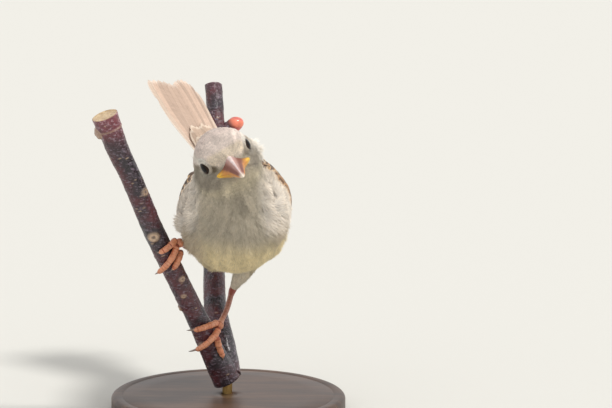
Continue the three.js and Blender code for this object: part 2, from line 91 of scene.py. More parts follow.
# %% [markdown]
# ## Light and floor
# Soft studio light shows form without hiding colour. The world gives an even pale light from all round,
# and one broad sun from the upper right gives the shade that tells the eye how round the breast is.
# A wide pale floor takes the bird's shadow. What the camera sees beyond the floor is plain white.


# %% Light and floor
def feed(tree, value, socket):
    """Joins another node's output to a socket, or writes a plain value into it."""
    if hasattr(value, "is_linked"):
        tree.links.new(value, socket)
    elif value is not None:
        socket.default_value = value


def node(tree, kind, **settings):
    """Adds a node. Keywords name its sockets, with underscores for spaces, or its other settings."""
    made = tree.nodes.new(kind)
    for name, value in settings.items():
        label = name.replace("_", " ")
        socket = next((s for s in made.inputs if s.name == label and s.enabled), None)
        if socket is not None:
            feed(tree, value, socket)
        else:
            setattr(made, name, value)
    return made


def srgb(*parts):
    """A colour as painters mix it on a screen, 0 to 255, turned into linear light."""
    share = np.array(parts, float) / 255
    return np.where(share <= 0.04045, share / 12.92, ((share + 0.055) / 1.055) ** 2.4)


def rgba(*parts):
    return (*[float(v) for v in srgb(*parts)], 1.0)


world = bpy.data.worlds.new("studio")
bpy.context.scene.world = world
world.use_nodes = True
sky = world.node_tree
sky.nodes.clear()
seen = node(sky, "ShaderNodeLightPath")
any_of = seen.outputs["Is Camera Ray"]
for ray in ("Is Glossy Ray", "Is Transmission Ray"):
    either = node(sky, "ShaderNodeMath", operation="MAXIMUM")
    sky.links.new(any_of, either.inputs[0])
    sky.links.new(seen.outputs[ray], either.inputs[1])
    any_of = either.outputs[0]
ambient = node(sky, "ShaderNodeBackground", Color=(1.0, 0.985, 0.965, 1), Strength=0.74)
backdrop = node(sky, "ShaderNodeBackground", Color=(1, 1, 1, 1), Strength=0.92)
choose = node(sky, "ShaderNodeMixShader")
for place, made in enumerate((any_of, ambient.outputs[0], backdrop.outputs[0])):
    sky.links.new(made, choose.inputs[place])
node(sky, "ShaderNodeOutputWorld", Surface=choose.outputs[0])

SUN_WIDTH = 12  # degrees of sky that the broad sun fills
SUN_TOWARDS = (-0.44, 0.14, -0.88)
lamp = bpy.data.lights.new("key_light", "SUN")
lamp.energy = 1.95
lamp.angle = math.radians(SUN_WIDTH)
lamp.color = (1.0, 0.97, 0.92)
sun = bpy.data.objects.new("key_light", lamp)
bpy.context.collection.objects.link(sun)
sun.rotation_euler = Vector(SUN_TOWARDS).to_track_quat("-Z", "Y").to_euler()

FLOOR_REACH = 4.0  # metres from the middle to each side
corners = [(x * FLOOR_REACH, y * FLOOR_REACH, 0) for x, y in ((-1, -1), (1, -1), (1, 1), (-1, 1))]
floor_mesh = bpy.data.meshes.new("floor")
floor_mesh.from_pydata(corners, [], [(0, 1, 2, 3)])
floor = bpy.data.objects.new("floor", floor_mesh)
bpy.context.collection.objects.link(floor)
floor_paint = bpy.data.materials.new("pale_studio_floor")
floor_paint.use_nodes = True
floor_shader = floor_paint.node_tree.nodes["Principled BSDF"]
floor_shader.inputs["Base Color"].default_value = rgba(216, 216, 212)
floor_shader.inputs["Roughness"].default_value = 0.9
floor_shader.inputs["Specular IOR Level"].default_value = 0.1
floor_mesh.materials.append(floor_paint)
print("floor, camera and light are in place")

# %% [markdown]
# ## Frames to measure in
# A bird is easiest to describe part by part: the eye sits so far in front of the middle of the head, the
# rump so far behind the hips. So the head, the trunk and the tail each get a frame of their own, turned as
# the bird holds it. These are the same frames and masses as in the solid model.


# %% Frames for the trunk, the head and the tail
def move(place):
    made = np.eye(4)
    made[:3, 3] = place
    return made


def turn(axis, degrees):
    c, s = math.cos(math.radians(degrees)), math.sin(math.radians(degrees))
    made = np.eye(4)
    i, j = {"x": (1, 2), "y": (2, 0), "z": (0, 1)}[axis]
    made[i, i] = made[j, j] = c
    made[i, j], made[j, i] = -s, s
    return made


def apply(matrix, points):
    return np.asarray(points, float) @ matrix[:3, :3].T + matrix[:3, 3]


def unit(vectors):
    return vectors / np.maximum(np.linalg.norm(vectors, axis=-1, keepdims=True), 1e-9)


TRUNK = move((2.1, 2, 70.2)) @ turn("z", 3) @ turn("x", 3) @ turn("y", -12)
HEAD = move((-1.2, -25, 98.4)) @ turn("x", -12) @ turn("y", -30) @ turn("z", 7) @ turn("x", 20)
tail_along = unit(np.array([-0.387, 0.745, 0.543]))
tail_side = unit(np.cross(tail_along, (0, 0, 1)))
TAIL = np.eye(4)
TAIL[:3, :3] = np.stack([tail_side, tail_along, np.cross(tail_side, tail_along)], 1)
TAIL[:3, 3] = apply(TRUNK, (0, 33, 7))
TAIL = TAIL @ turn("y", 12)
TO_TRUNK, TO_HEAD, TO_TAIL = (np.linalg.inv(m) for m in (TRUNK, HEAD, TAIL))
print("head sits at", HEAD[:3, 3], "and the tail starts at", TAIL[:3, 3].round(1))

# %% [markdown]
# ## The body as masses that melt together
# Flesh has no edges. A good way to get one smooth form is to describe it as a distance field: each mass,
# such as the cranium, a cheek or the breast, says how far any point is from its surface, and a smooth
# minimum melts them. Where the field is zero is the surface of the coat, just as in the solid model.


# %% Masses of the body
def egg(place, at, radii, tilt=0):
    to_local = np.linalg.inv(place @ move(at) @ turn("x", tilt))
    radii = np.array(radii, float)

    def distance(p):
        q = apply(to_local, p)
        k0 = np.linalg.norm(q / radii, axis=1)
        k1 = np.linalg.norm(q / radii**2, axis=1)
        return k0 * (k0 - 1) / np.maximum(k1, 1e-9)

    return distance


def limb(start, end, start_radius, end_radius):
    start, end = np.asarray(start, float), np.asarray(end, float)
    along = end - start

    def distance(p):
        share = np.clip((p - start) @ along / (along @ along), 0, 1)
        reach = np.linalg.norm(p - start - share[:, None] * along, axis=1)
        return reach - start_radius - (end_radius - start_radius) * share

    return distance


def melt(masses, width):
    def distance(p):
        least = np.full(len(p), 1e3)
        for mass in masses:
            d = mass(p)
            h = np.maximum(width - np.abs(least - d), 0) / width
            least = np.minimum(least, d) - h * h * width / 4
        return least

    return distance


HIPS = {"left": (8.2, 6, -11), "right": (-8.8, 3, -10.5)}
ANKLES = {"left": (1.5, 13.4, 41.4), "right": (-15.2, 11.5, 58.2)}
head_masses = [
    egg(HEAD, (0, 1.5, 0.6), (9.5, 11.6, 9.4)),  # cranium
    egg(HEAD, (4.2, 1.4, -4.2), (5.6, 8.2, 6)),  # cheeks
    egg(HEAD, (-4.2, 1.4, -4.2), (5.6, 8.2, 6)),
    egg(HEAD, (0, -4.5, -0.7), (5.5, 6.0, 5.2), 12),  # forehead and lores
    egg(HEAD, (0, -2.2, -6.2), (6.2, 6.8, 4.6), -14),  # chin
    egg(HEAD, (5.7, -3.6, 4.9), (2.4, 4.2, 1.6), 14),  # brows
    egg(HEAD, (-5.7, -3.6, 4.9), (2.4, 4.2, 1.6), 14),
]
neck_masses = [
    limb(apply(HEAD, (0, 4, -4.5)), apply(TRUNK, (0, -11, 5)), 11.2, 17),
    limb(apply(HEAD, (0, -0.5, -5.5)), apply(TRUNK, (0, -15, 0)), 7.6, 13),
]
trunk_masses = [
    egg(TRUNK, (0, -9.5, -1), (17.8, 17.5, 17)),
    egg(TRUNK, (0, 5, -3.8), (16, 22.5, 16.4)),
    egg(TRUNK, (0, 4, 4.2), (15.6, 27, 13.6)),
    egg(TRUNK, (0, 25, 2.2), (10.6, 16, 9.2), 14),
    egg(TAIL, (0, 4, -0.2), (7.6, 14, 4.2)),
    limb(apply(TRUNK, (0, 17, -4)), apply(TAIL, (0, 15, -1.6)), 10.5, 3.4),
]
body_field = melt(head_masses + neck_masses + trunk_masses, 5)
thigh_fields = {
    side: melt([limb(apply(TRUNK, HIPS[side]), ANKLES[side], 8.2, 1.7),
                egg(TRUNK, HIPS[side], (7.5, 10, 8.5))], 3)
    for side in HIPS
}
whole_field = melt([body_field, thigh_fields["left"], thigh_fields["right"]], 3)
print("the field at the middle of the head:", whole_field(HEAD[:3, 3][None])[0].round(2))


# %% Smooth steps and profiles
def smooth(value, start, end):
    """0 before start, 1 after end, and a smooth rise between them."""
    share = np.clip((np.asarray(value, float) - start) / (end - start), 0, 1)
    return share * share * (3 - 2 * share)


def profile(*stations):
    """A value that runs smoothly through (place, value) stations."""
    places, values = (np.array(v, float) for v in zip(*stations))

    def at(place):
        place = np.clip(np.asarray(place, float), places[0], places[-1])
        i = np.clip(np.searchsorted(places, place, side="right") - 1, 0, len(places) - 2)
        share = (place - places[i]) / (places[i + 1] - places[i])
        eased = 0.5 * share * share * (3 - 2 * share) + 0.5 * share
        return values[i] + (values[i + 1] - values[i]) * eased

    return at


def blob(p, matrix_in, centre, reach):
    """1 at a centre, falling softly to 0 at its reach, measured in a frame. Reach may differ by axis."""
    q = (apply(matrix_in, p) - np.array(centre, float)) / np.array(reach, float)
    return 1 - smooth(np.linalg.norm(q, axis=1), 0, 1)

# %% [markdown]
# ## The skin
# Under its coat the bird is slimmer than it looks. The skin lies half a millimetre under the feathers at
# the bill and about two millimetres under them on the breast. A surface net turns the field into a mesh:
# each small cell that the surface crosses gives one vertex, and each crossed grid edge one four-sided
# face. Unlike joined solids, such a mesh has no seam anywhere.


# %% Depth of the coat over the skin
def coat_depth(p):
    in_head = apply(TO_HEAD, p)
    from_head = np.linalg.norm(in_head, axis=1)
    depth = 0.45 + 0.4 * smooth(in_head[:, 1], -7, 3) + 1.05 * smooth(from_head, 11, 24)
    for side in ANKLES:
        depth -= 1.05 * (1 - smooth(np.linalg.norm(p - np.array(ANKLES[side]), axis=1), 2, 14))
    depth -= 0.5 * smooth(apply(TO_TAIL, p)[:, 1], 2, 16)
    return np.maximum(depth, 0.4)


def skin_field(p):
    return whole_field(p) + coat_depth(p)


# %% Surface net
def surface_net(field, low, high, cell, block=4):
    """Vertices and four-sided faces of the surface where a field is zero. Only blocks near it are read."""
    low = np.array(low, float)
    blocks = np.ceil((np.array(high) - low) / (cell * block)).astype(int)
    index = np.stack(np.meshgrid(*[np.arange(n) for n in blocks], indexing="ij"), -1).reshape(-1, 3)
    rough = field(low + (index + 0.5) * cell * block).reshape(blocks)
    near = np.abs(rough) < cell * block * 1.6
    values = np.where(rough < 0, -1e3, 1e3)
    for axis in range(3):
        near = np.repeat(near, block, axis)
        values = np.repeat(values, block, axis)
    places = np.argwhere(near)
    values[near] = field(low + places * cell)

    cells, sums, faces = [], [], []
    for axis in range(3):
        from_value = np.delete(values, -1, axis)
        to_value = np.delete(values, 0, axis)
        crossed = np.argwhere((from_value < 0) != (to_value < 0))
        a, b = from_value[tuple(crossed.T)], to_value[tuple(crossed.T)]
        point = crossed.astype(float)
        point[:, axis] += a / (a - b)
        u, v = (axis + 1) % 3, (axis + 2) % 3
        ring = []
        for du, dv in ((1, 1), (0, 1), (0, 0), (1, 0)):
            corner = crossed.copy()
            corner[:, u] -= du
            corner[:, v] -= dv
            ring.append(np.ravel_multi_index(tuple(corner.T), values.shape))
            cells.append(ring[-1])
            sums.append(point)
        face = np.stack(ring, 1)
        faces.append(np.where((a < 0)[:, None], face, face[:, ::-1]))
    ids, owner = np.unique(np.concatenate(cells), return_inverse=True)
    sums = np.concatenate(sums)
    hits = np.bincount(owner)
    vertices = np.stack([np.bincount(owner, sums[:, i]) / hits for i in range(3)], 1)
    return low + vertices * cell, np.searchsorted(ids, np.concatenate(faces))


def slope_of(field, p, h=0.05):
    steps = np.eye(3) * h
    return np.stack([(field(p + s) - field(p - s)) / (2 * h) for s in steps], 1)


def onto_surface(field, p, rounds=2):
    """Draws points onto the surface where a field is zero."""
    for _ in range(rounds):
        slope = slope_of(field, p)
        p = p - slope * (field(p) / np.maximum((slope**2).sum(1), 0.2))[:, None]
    return p


SKIN_CELL = 0.45  # millimetres between grid points
skin_points, skin_faces = surface_net(skin_field, (-26, -48, 30), (32, 62, 116), SKIN_CELL)
skin_points = onto_surface(skin_field, skin_points)
print("skin:", len(skin_points), "vertices,", len(skin_faces), "faces")

# %% [markdown]
# ## The lie of the coat
# Feathers point away from the bill: back over the crown, round the eyes, down the breast, and out along
# tail and legs. Drawing that by hand takes long and leaves whorls. Warmth flowing from a hot bill to a cold
# tail and cold ankles takes the same ways, so the skin is solved for heat, and each feather is laid
# along its slope.


# %% Heat over the skin, and its slope
def net_edges(faces):
    pairs = np.concatenate([faces[:, [i, (i + 1) % faces.shape[1]]] for i in range(faces.shape[1])])
    pairs = np.sort(pairs, axis=1)
    return np.unique(pairs, axis=0)


def gather(values, owner, count):
    return np.bincount(owner, values, minlength=count)


def spread_heat(points, edges, fixed, heat, rounds=700):
    """Conjugate gradients on the skin's net: free vertices take the mean of their neighbours."""
    count = len(points)
    a, b = edges.T
    free = ~fixed

    def pull(x):
        difference = x[a] - x[b]
        return (gather(difference, a, count) - gather(difference, b, count)) * free

    x = np.where(fixed, heat, 0.5)
    rest = -pull(x)
    way = rest.copy()
    size = rest @ rest
    for _ in range(rounds):
        pulled = pull(way)
        step = size / (way @ pulled)
        x = x + step * way
        rest = rest - step * pulled
        new_size = rest @ rest
        if new_size < 1e-9:
            break
        way = rest + way * (new_size / size)
        size = new_size
    return x


def tangent_slope(points, normals, edges, heat, smoothings=6):
    count = len(points)
    a, b = edges.T
    reach = points[b] - points[a]
    rise = ((heat[b] - heat[a]) / (reach**2).sum(1))[:, None] * reach
    slope = np.stack([gather(rise[:, i], a, count) + gather(rise[:, i], b, count) for i in range(3)], 1)
    slope = unit(slope)
    for _ in range(smoothings):
        mixed = np.stack([gather(slope[b, i], a, count) + gather(slope[a, i], b, count) for i in range(3)], 1)
        slope = slope + mixed
        slope -= normals * (slope * normals).sum(1)[:, None]
        slope = unit(slope)
    return slope


skin_normals = unit(slope_of(skin_field, skin_points))
skin_edges = net_edges(skin_faces)
at_head, at_trunk, at_tail = (apply(m, skin_points) for m in (TO_HEAD, TO_TRUNK, TO_TAIL))
BILL_MIDDLE = -1.6  # how high the bill's middle line meets the face, in the head's frame
from_bill = np.stack([at_head[:, 0], 0 * at_head[:, 0], at_head[:, 2] - BILL_MIDDLE], 1)
bill_end = (at_head[:, 1] < -7.0) & (np.linalg.norm(from_bill, axis=1) < 3.6)
cold_end = (at_tail[:, 1] > 13.5)
for side in ANKLES:
    cold_end |= np.linalg.norm(skin_points - np.array(ANKLES[side]), axis=1) < 2.2
heat = spread_heat(skin_points, skin_edges, bill_end | cold_end, np.where(cold_end, 1.0, 0.0))
lie = tangent_slope(skin_points, skin_normals, skin_edges, heat)


def lean(lie, share, way):
    """Turns the lie towards another direction by a share, and keeps it on the skin."""
    share = np.clip(share, 0, 1)[:, None]
    turned = lie * (1 - share) + unit(way) * share
    turned -= skin_normals * (turned * skin_normals).sum(1)[:, None]
    return unit(turned)


near_bill = 1 - smooth(np.linalg.norm(from_bill / (1.25, 1, 1), axis=1), 3.5, 6.5)
near_bill *= smooth(-at_head[:, 1], 5.0, 8.0)
outward = from_bill @ HEAD[:3, :3].T + 0.6 * HEAD[:3, 1]
lie = lean(lie, near_bill, outward)
lie = lean(lie, smooth(at_tail[:, 1], 6, 11), np.tile(TAIL[:3, 1], (len(lie), 1)))
for side, hip in HIPS.items():
    foot = np.array(ANKLES[side])
    near = 1 - smooth(np.linalg.norm(skin_points - foot, axis=1), 3, 7)
    lie = lean(lie, near, np.tile(foot - apply(TRUNK, hip), (len(lie), 1)))
EYES = {1: apply(HEAD, (6.5, -4.6, 1.3)), -1: apply(HEAD, (-6.5, -4.6, 1.3))}
EYE_RADIUS = 3.3
for side, middle in EYES.items():
    away = skin_points - (middle + HEAD[:3, 1] * 0.6)
    near = 1 - smooth(np.linalg.norm(skin_points - middle, axis=1), 3.4, 5.4)
    lie = lean(lie, 0.6 * near, away)
print("hot vertices:", bill_end.sum(), " cold vertices:", cold_end.sum())


def streaks(points, faces, edges, lie, seed, rounds=46):
    """Fine streaks along the lie: chance values that each vertex shares only with those ahead and behind."""
    pairs = np.concatenate([edges, faces[:, [0, 2]], faces[:, [1, 3]]])
    a, b = pairs.T
    way = unit(points[b] - points[a])
    along = np.abs((way * unit(lie[a] + lie[b])).sum(1)) ** 12
    count = len(points)
    share = 1 + gather(along, a, count) + gather(along, b, count)
    value = np.random.default_rng(seed).normal(size=count)
    for _ in range(rounds):
        value = (value + gather(along * value[b], a, count) + gather(along * value[a], b, count)) / share
    return np.clip((value - value.mean()) / value.std(), -2.2, 2.2)


streak = streaks(skin_points, skin_faces, skin_edges, lie, 8)

# %% [markdown]
# ## Markings
# A young house sparrow is plain: greyish-brown crown, a pale stripe behind the eye, dusty grey-buff
# underparts that turn paler on the belly, and a brown back with dark and buff stripes. Each marking is a
# named colour and a soft mask placed in the head's or the trunk's own frame. Skin and feathers take
# the same colours, so a gap between feathers never shows. Some colours also hold painted light: the
# paler crown, forehead and shoulders and the white left cheek are partly painted sunlight, the right
# lores are darker as painted shade, and part of the belly's yellow is painted light from leaves.


# %% Colours of the coat
COAT_COLOURS = {
    "crown": (220, 205, 197), "forehead": (230, 216, 207), "lores": (104, 90, 68), "stripe": (242, 235, 224),
    "ear": (152, 143, 129), "chin": (198, 186, 160), "breast": (180, 170, 152), "side": (186, 172, 152),
    "belly": (224, 208, 168), "vent": (222, 208, 176), "nape": (162, 142, 122), "mantle": (158, 122, 86),
    "rump": (162, 140, 114), "thigh": (226, 216, 198), "eye_ring": (248, 243, 234),
    "shoulder": (232, 223, 211), "streak": (58, 44, 34), "buff": (212, 178, 132), "fringe": (226, 212, 190),
}


def cover(colours, mask, name):
    """Lays a named colour over the others where its mask is."""
    mask = np.clip(mask, 0, 1)[:, None]
    return colours * (1 - mask) + srgb(*COAT_COLOURS[name]) * mask


def ripple(p, size, seed):
    """Soft uneven patches of about a size, from -1 to 1."""
    rng = np.random.default_rng(seed)
    total = np.zeros(len(p))
    for _ in range(7):
        way = unit(rng.normal(size=3)) / size * rng.uniform(3, 6)
        total += np.sin(p @ way + rng.uniform(0, 6.28))
    return total / 7


def cheek_of(p):
    """The ruffled patch behind the left eye."""
    return blob(p, TO_HEAD, (9.4, 0.8, -3.2), (5.0, 5.0, 6.6))


LANE = 5.0  # millimetres from one dark stripe of the back to the next


def coat_colours(p):
    """The coat's colour at each place. Later masks lie over earlier ones."""
    h, t = (apply(m, p) for m in (TO_HEAD, TO_TRUNK))
    from_head = np.linalg.norm(h - (0, 1, -1), axis=1)
    on_head = 1 - smooth(from_head, 11.5, 15.5)
    wobble = ripple(p, 7, 3)
    width, tall = np.abs(h[:, 0]), h[:, 2]
    colours = np.tile(srgb(*COAT_COLOURS["breast"]), (len(p), 1))
    # Low down the coat is paler and yellower: buff of its own, with part of the yellow a painted cast of
    # light from green leaves.
    colours = cover(colours, smooth(72 - p[:, 2] + 1.5 * wobble, 0, 10), "belly")
    colours = cover(colours, smooth(t[:, 1] + 0.4 * wobble, 14, 26) * smooth(-t[:, 2], -4, 4), "vent")
    side_mask = smooth(np.abs(t[:, 0]) + wobble, 9.5, 14) * smooth(t[:, 2], -12, -3)
    colours = cover(colours, side_mask * 0.8, "side")
    back = smooth(t[:, 2] - 0.10 * np.abs(t[:, 0]) + 0.6 * wobble, 4.5, 9.5) * smooth(t[:, 1], -16, -8)
    colours = cover(colours, back, "mantle")
    lane = np.cos(t[:, 0] / LANE * 2 * np.pi + 0.5 * ripple(p, 4, 6)) - 0.1 + 0.4 * ripple(p, 3, 9)
    striped = back * smooth(t[:, 1], -14, -7) * (1 - smooth(t[:, 1], 14, 22))
    colours = cover(colours, striped * smooth(lane, 0.15, 0.6) * 0.95, "streak")
    colours = cover(colours, striped * smooth(-lane, 0.35, 0.9) * 0.7, "buff")
    colours = cover(colours, smooth(t[:, 1] + wobble, 15, 22) * smooth(t[:, 2], 3, 7), "rump")
    nape = smooth(h[:, 1], 2, 12) * smooth(tall - 0.3 * from_head, -9, -2)
    colours = cover(colours, nape * (1 - smooth(t[:, 1], -15, -8)), "nape")
    for side in ANKLES:
        near = 1 - smooth(np.linalg.norm(p - np.array(ANKLES[side]), axis=1), 8, 18)
        colours = cover(colours, near, "thigh")
    face = on_head * smooth(tall + 0.4 * wobble, -4.0, 0.5)
    colours = cover(colours, on_head * (1 - smooth(tall, -7.5, -4)) * (1 - smooth(h[:, 1], 0, 7)), "chin")
    ear = smooth(width, 4, 7) * (1 - smooth(tall, -1, 2)) * smooth(tall, -9.5, -6)
    colours = cover(colours, on_head * ear, "ear")
    # Crown and forehead are painted paler than the bird's own grey-brown: partly painted sunlight on the top
    # of the head.
    colours = cover(colours, face * smooth(tall, 0.5, 3.5), "crown")
    colours = cover(colours, on_head * smooth(-h[:, 1], 1, 6) * smooth(tall, -0.5, 2), "forehead")
    stripe = np.exp(-(((tall - 3.9 - 0.05 * h[:, 1]) / 1.25) ** 2))
    stripe *= smooth(h[:, 1], -7.5, -4) * (1 - smooth(h[:, 1], 7, 12)) * smooth(width, 4.5, 7.0)
    colours = cover(colours, on_head * stripe * 0.85, "stripe")
    fringe = smooth(-h[:, 1], 7.3, 8.6) * smooth(tall, 0.2, 2.0) * (1 - smooth(tall, 4.2, 5.6))
    colours = cover(colours, on_head * fringe * 0.8, "fringe")
    for x in (-1, 1):
        # The lores are a dark mark on both sides; the right one (x = -1) is painted darker as painted shade
        # and the left one lighter as painted sunlight.
        lores = np.linalg.norm((h - (x * 5.9, -7.9, 0.4)) / (2.0, 2.8, 1.5), axis=1)
        colours = cover(colours, (0.7 - 0.2 * x) * (1 - smooth(lores, 0.5, 1.25)), "lores")
        behind = np.linalg.norm((h - (x * 9.2, -0.6, 1.6)) / (3, 2.8, 0.9), axis=1)
        colours = cover(colours, 0.6 * (1 - smooth(behind, 0.5, 1.3)), "lores")
        ring = np.linalg.norm(h - (x * 9.3, -5.2, 1.3), axis=1)
        ring = np.exp(-(((ring - 2.7) / 0.9) ** 2)) * (0.12 + 0.88 * smooth(tall, 1.4, 3.0))
        colours = cover(colours, 0.95 * ring, "eye_ring")
        brow = np.linalg.norm((h - (x * 8.3, -5.0, 4.2)) / (2.6, 3.0, 0.9), axis=1)
        colours = cover(colours, 1 - smooth(brow, 0.6, 1.25), "eye_ring")
    # The ruffled left cheek is painted white: loose pale feathers, whitened further as painted sunlight on
    # that side only.
    colours = cover(colours, 1.6 * cheek_of(p), "stripe")
    # A pale patch high on each side of the breast: pale fluff, made paler as painted sunlight.
    aside = np.abs(p[:, 0] - 0.7)
    shoulder = smooth(aside + 0.7 * wobble, 8.5, 12) * smooth(p[:, 2] + wobble, 69, 75)
    colours = cover(colours, shoulder * (1 - smooth(t[:, 1], -14, -6)) * (1 - on_head) * 0.95, "shoulder")
    return np.clip(colours, 0, 1)


WING_FRONT = {1: -17.0, -1: -13.0}  # millimetres along the trunk, for the left and the right wing
WING_BACK = 50.0
wing_top = profile((0, 20), (0.04, 40), (0.14, 58), (0.34, 67), (0.55, 60), (0.75, 46), (1, 28))
wing_bottom = profile((0, 4), (0.04, -10), (0.14, -24), (0.32, -31), (0.55, -24), (0.75, -10), (1, 8))


def wing_axis(v):
    """The height of the line that a wing is measured round: it rises towards the tail."""
    return 1.5 + 5 * v * v


def wing_y(side, v):
    """How far back along the trunk a share v of a wing's length is."""
    return WING_FRONT[side] + (WING_BACK - WING_FRONT[side]) * v


def wing_v(side, y):
    return (y - WING_FRONT[side]) / (WING_BACK - WING_FRONT[side])


def wing_limits(side, v):
    """The angles of a wing's lower and upper edge. The right wing hangs less far down."""
    return wing_bottom(v) * (1 if side > 0 else 0.55), wing_top(v)


def wing_place(t, side):
    """Where trunk-frame points lie on a wing: v along it, the angle round the trunk, and its limits there."""
    v = wing_v(side, t[:, 1])
    angle = np.degrees(np.arctan2(t[:, 2] - wing_axis(v), side * t[:, 0]))
    return v, angle, *wing_limits(side, v)


def hill(value, rise_start, rise_end, fall_start, fall_end):
    """0, a smooth rise to 1, and a smooth fall back to 0."""
    return smooth(value, rise_start, rise_end) * (1 - smooth(value, fall_start, fall_end))


def wing_rim(t):
    """1 in the band just before and below a folded wing, where longer feathers fall over its edge."""
    rim = np.zeros(len(t))
    for side in WING_FRONT:
        v, angle, low, high = wing_place(t, side)
        before = hill(v, -0.16, -0.04, 0.04, 0.12) * hill(angle, -26, -10, 62, 80)
        below = hill(v, 0.0, 0.1, 0.5, 0.7) * hill(angle - low, -16, -6, 4, 10)
        above = hill(v, 0.0, 0.1, 0.6, 0.75) * hill(angle - high, -14, -6, 5, 14)
        rim = np.maximum.reduce([rim, before, below, above])
    return rim


def wing_lining(t):
    """1 where the body falls away from a folded wing's rear half, and long feathers fill the space."""
    lining = np.zeros(len(t))
    for side in WING_FRONT:
        v, angle, low, high = wing_place(t, side)
        inside = smooth(angle, low - 6, low + 4) * (1 - smooth(angle, high - 2, high + 10))
        lining = np.maximum(lining, inside * smooth(v, 0.45, 0.6) * (1 - smooth(v, 0.86, 0.96)))
    return lining


def coat_length(p):
    """How long the feathers' visible tips are."""
    h, t, b = (apply(m, p) for m in (TO_HEAD, TO_TRUNK, TO_TAIL))
    from_head = np.linalg.norm(h, axis=1)
    length = 1.1 + 0.75 * smooth(h[:, 1], -8, 2) + 0.45 * smooth(-h[:, 2], -2, 8)
    length = length + (4.1 - length) * smooth(from_head, 10.5, 25)
    length += 0.6 * smooth(t[:, 1], -5, 20)
    for side in ANKLES:
        near = 1 - smooth(np.linalg.norm(p - np.array(ANKLES[side]), axis=1), 2, 14)
        length = length + (1.7 - length) * near
    eye_near = np.min([np.linalg.norm(p - middle, axis=1) for middle in EYES.values()], axis=0)
    length = length + (0.8 - length) * (1 - smooth(eye_near, 3.4, 5.6))
    length = length * (1 - 0.5 * smooth(b[:, 1], 9, 15))
    return length + 1.6 * wing_rim(t) + 1.8 * wing_lining(t) + 0.4 * cheek_of(p)


skin_colours = coat_colours(skin_points)
streak_depth = 0.06 + 0.03 * smooth(at_trunk[:, 1], -20, -6) + 0.06 * smooth(at_trunk[:, 2], 3, 9)
skin_colours = np.clip(skin_colours * (1 + (streak_depth * streak)[:, None]), 0, 1)
skin_lengths = coat_length(skin_points)
print("feather tips run from", skin_lengths.min().round(2), "to", skin_lengths.max().round(2), "mm")


# %% The skin as a Blender mesh
def mesh_piece(name, points, faces, material=None):
    """A mesh object from millimetre points and faces that all have the same number of corners."""
    mesh = bpy.data.meshes.new(name)
    faces = np.asarray(faces, np.int32)
    mesh.vertices.add(len(points))
    mesh.vertices.foreach_set("co", (np.asarray(points, float) * MM).astype(np.float32).ravel())
    mesh.loops.add(faces.size)
    mesh.loops.foreach_set("vertex_index", faces.ravel())
    mesh.polygons.add(len(faces))
    mesh.polygons.foreach_set("loop_start", np.arange(0, faces.size, faces.shape[1], dtype=np.int32))
    mesh.update(calc_edges=True)
    mesh.validate()
    mesh.shade_smooth()
    if material:
        mesh.materials.append(material)
    made = bpy.data.objects.new(name, mesh)
    bpy.context.collection.objects.link(made)
    return made


def store(mesh, name, values, kind="FLOAT"):
    """Keeps a value for each vertex, so that materials and geometry nodes can read it by name."""
    values = np.asarray(values, np.float32)
    if kind == "FLOAT_COLOR":
        values = np.concatenate([values, np.ones((len(values), 1), np.float32)], 1)
    layer = mesh.attributes.new(name, kind, "POINT")
    field_name = {"FLOAT": "value", "FLOAT_VECTOR": "vector", "FLOAT_COLOR": "color"}[kind]
    layer.data.foreach_set(field_name, np.ascontiguousarray(values).ravel())


def unwrap(made):
    """Unwraps a mesh over its own shape, as the map OFBake."""
    made.data.uv_layers.new(name="OFBake")
    bpy.ops.object.select_all(action="DESELECT")
    made.select_set(True)
    bpy.context.view_layer.objects.active = made
    bpy.ops.object.mode_set(mode="EDIT")
    bpy.ops.mesh.select_all(action="SELECT")
    bpy.ops.uv.smart_project(angle_limit=math.radians(66), island_margin=0.004)
    bpy.ops.object.mode_set(mode="OBJECT")


skin = mesh_piece("skin", skin_points, skin_faces)
store(skin.data, "lie", lie, "FLOAT_VECTOR")
store(skin.data, "pigment", skin_colours, "FLOAT_COLOR")
store(skin.data, "length", skin_lengths)
unwrap(skin)
print("skin has", len(skin.data.polygons), "faces and", len(skin.data.uv_layers), "UV map")

# %% [markdown]
# ## What a feather's tip looks like
# Only the last few millimetres of a body feather show: a handful of fine barbs that lean on their
# neighbours. Those of the face are short, and have fewer and wider barbs. A few different tips of each
# kind, with under thirty faces, are enough: turned, scaled and tinted at random, no eye finds the
# repeats. Each stands along +Y, is one unit long, and bends a little downwards.


# %% Feather tips to repeat
def feather_object(name, points, faces, along, across, collection):
    """A small feather mesh that only geometry nodes use. Its sizes are in units, not millimetres."""
    mesh = bpy.data.meshes.new(name)
    mesh.from_pydata([tuple(p) for p in points], [], faces)
    store(mesh, "along", along)
    store(mesh, "across", across)
    mesh.shade_smooth()
    made = bpy.data.objects.new(name, mesh)
    collection.objects.link(made)
    return made


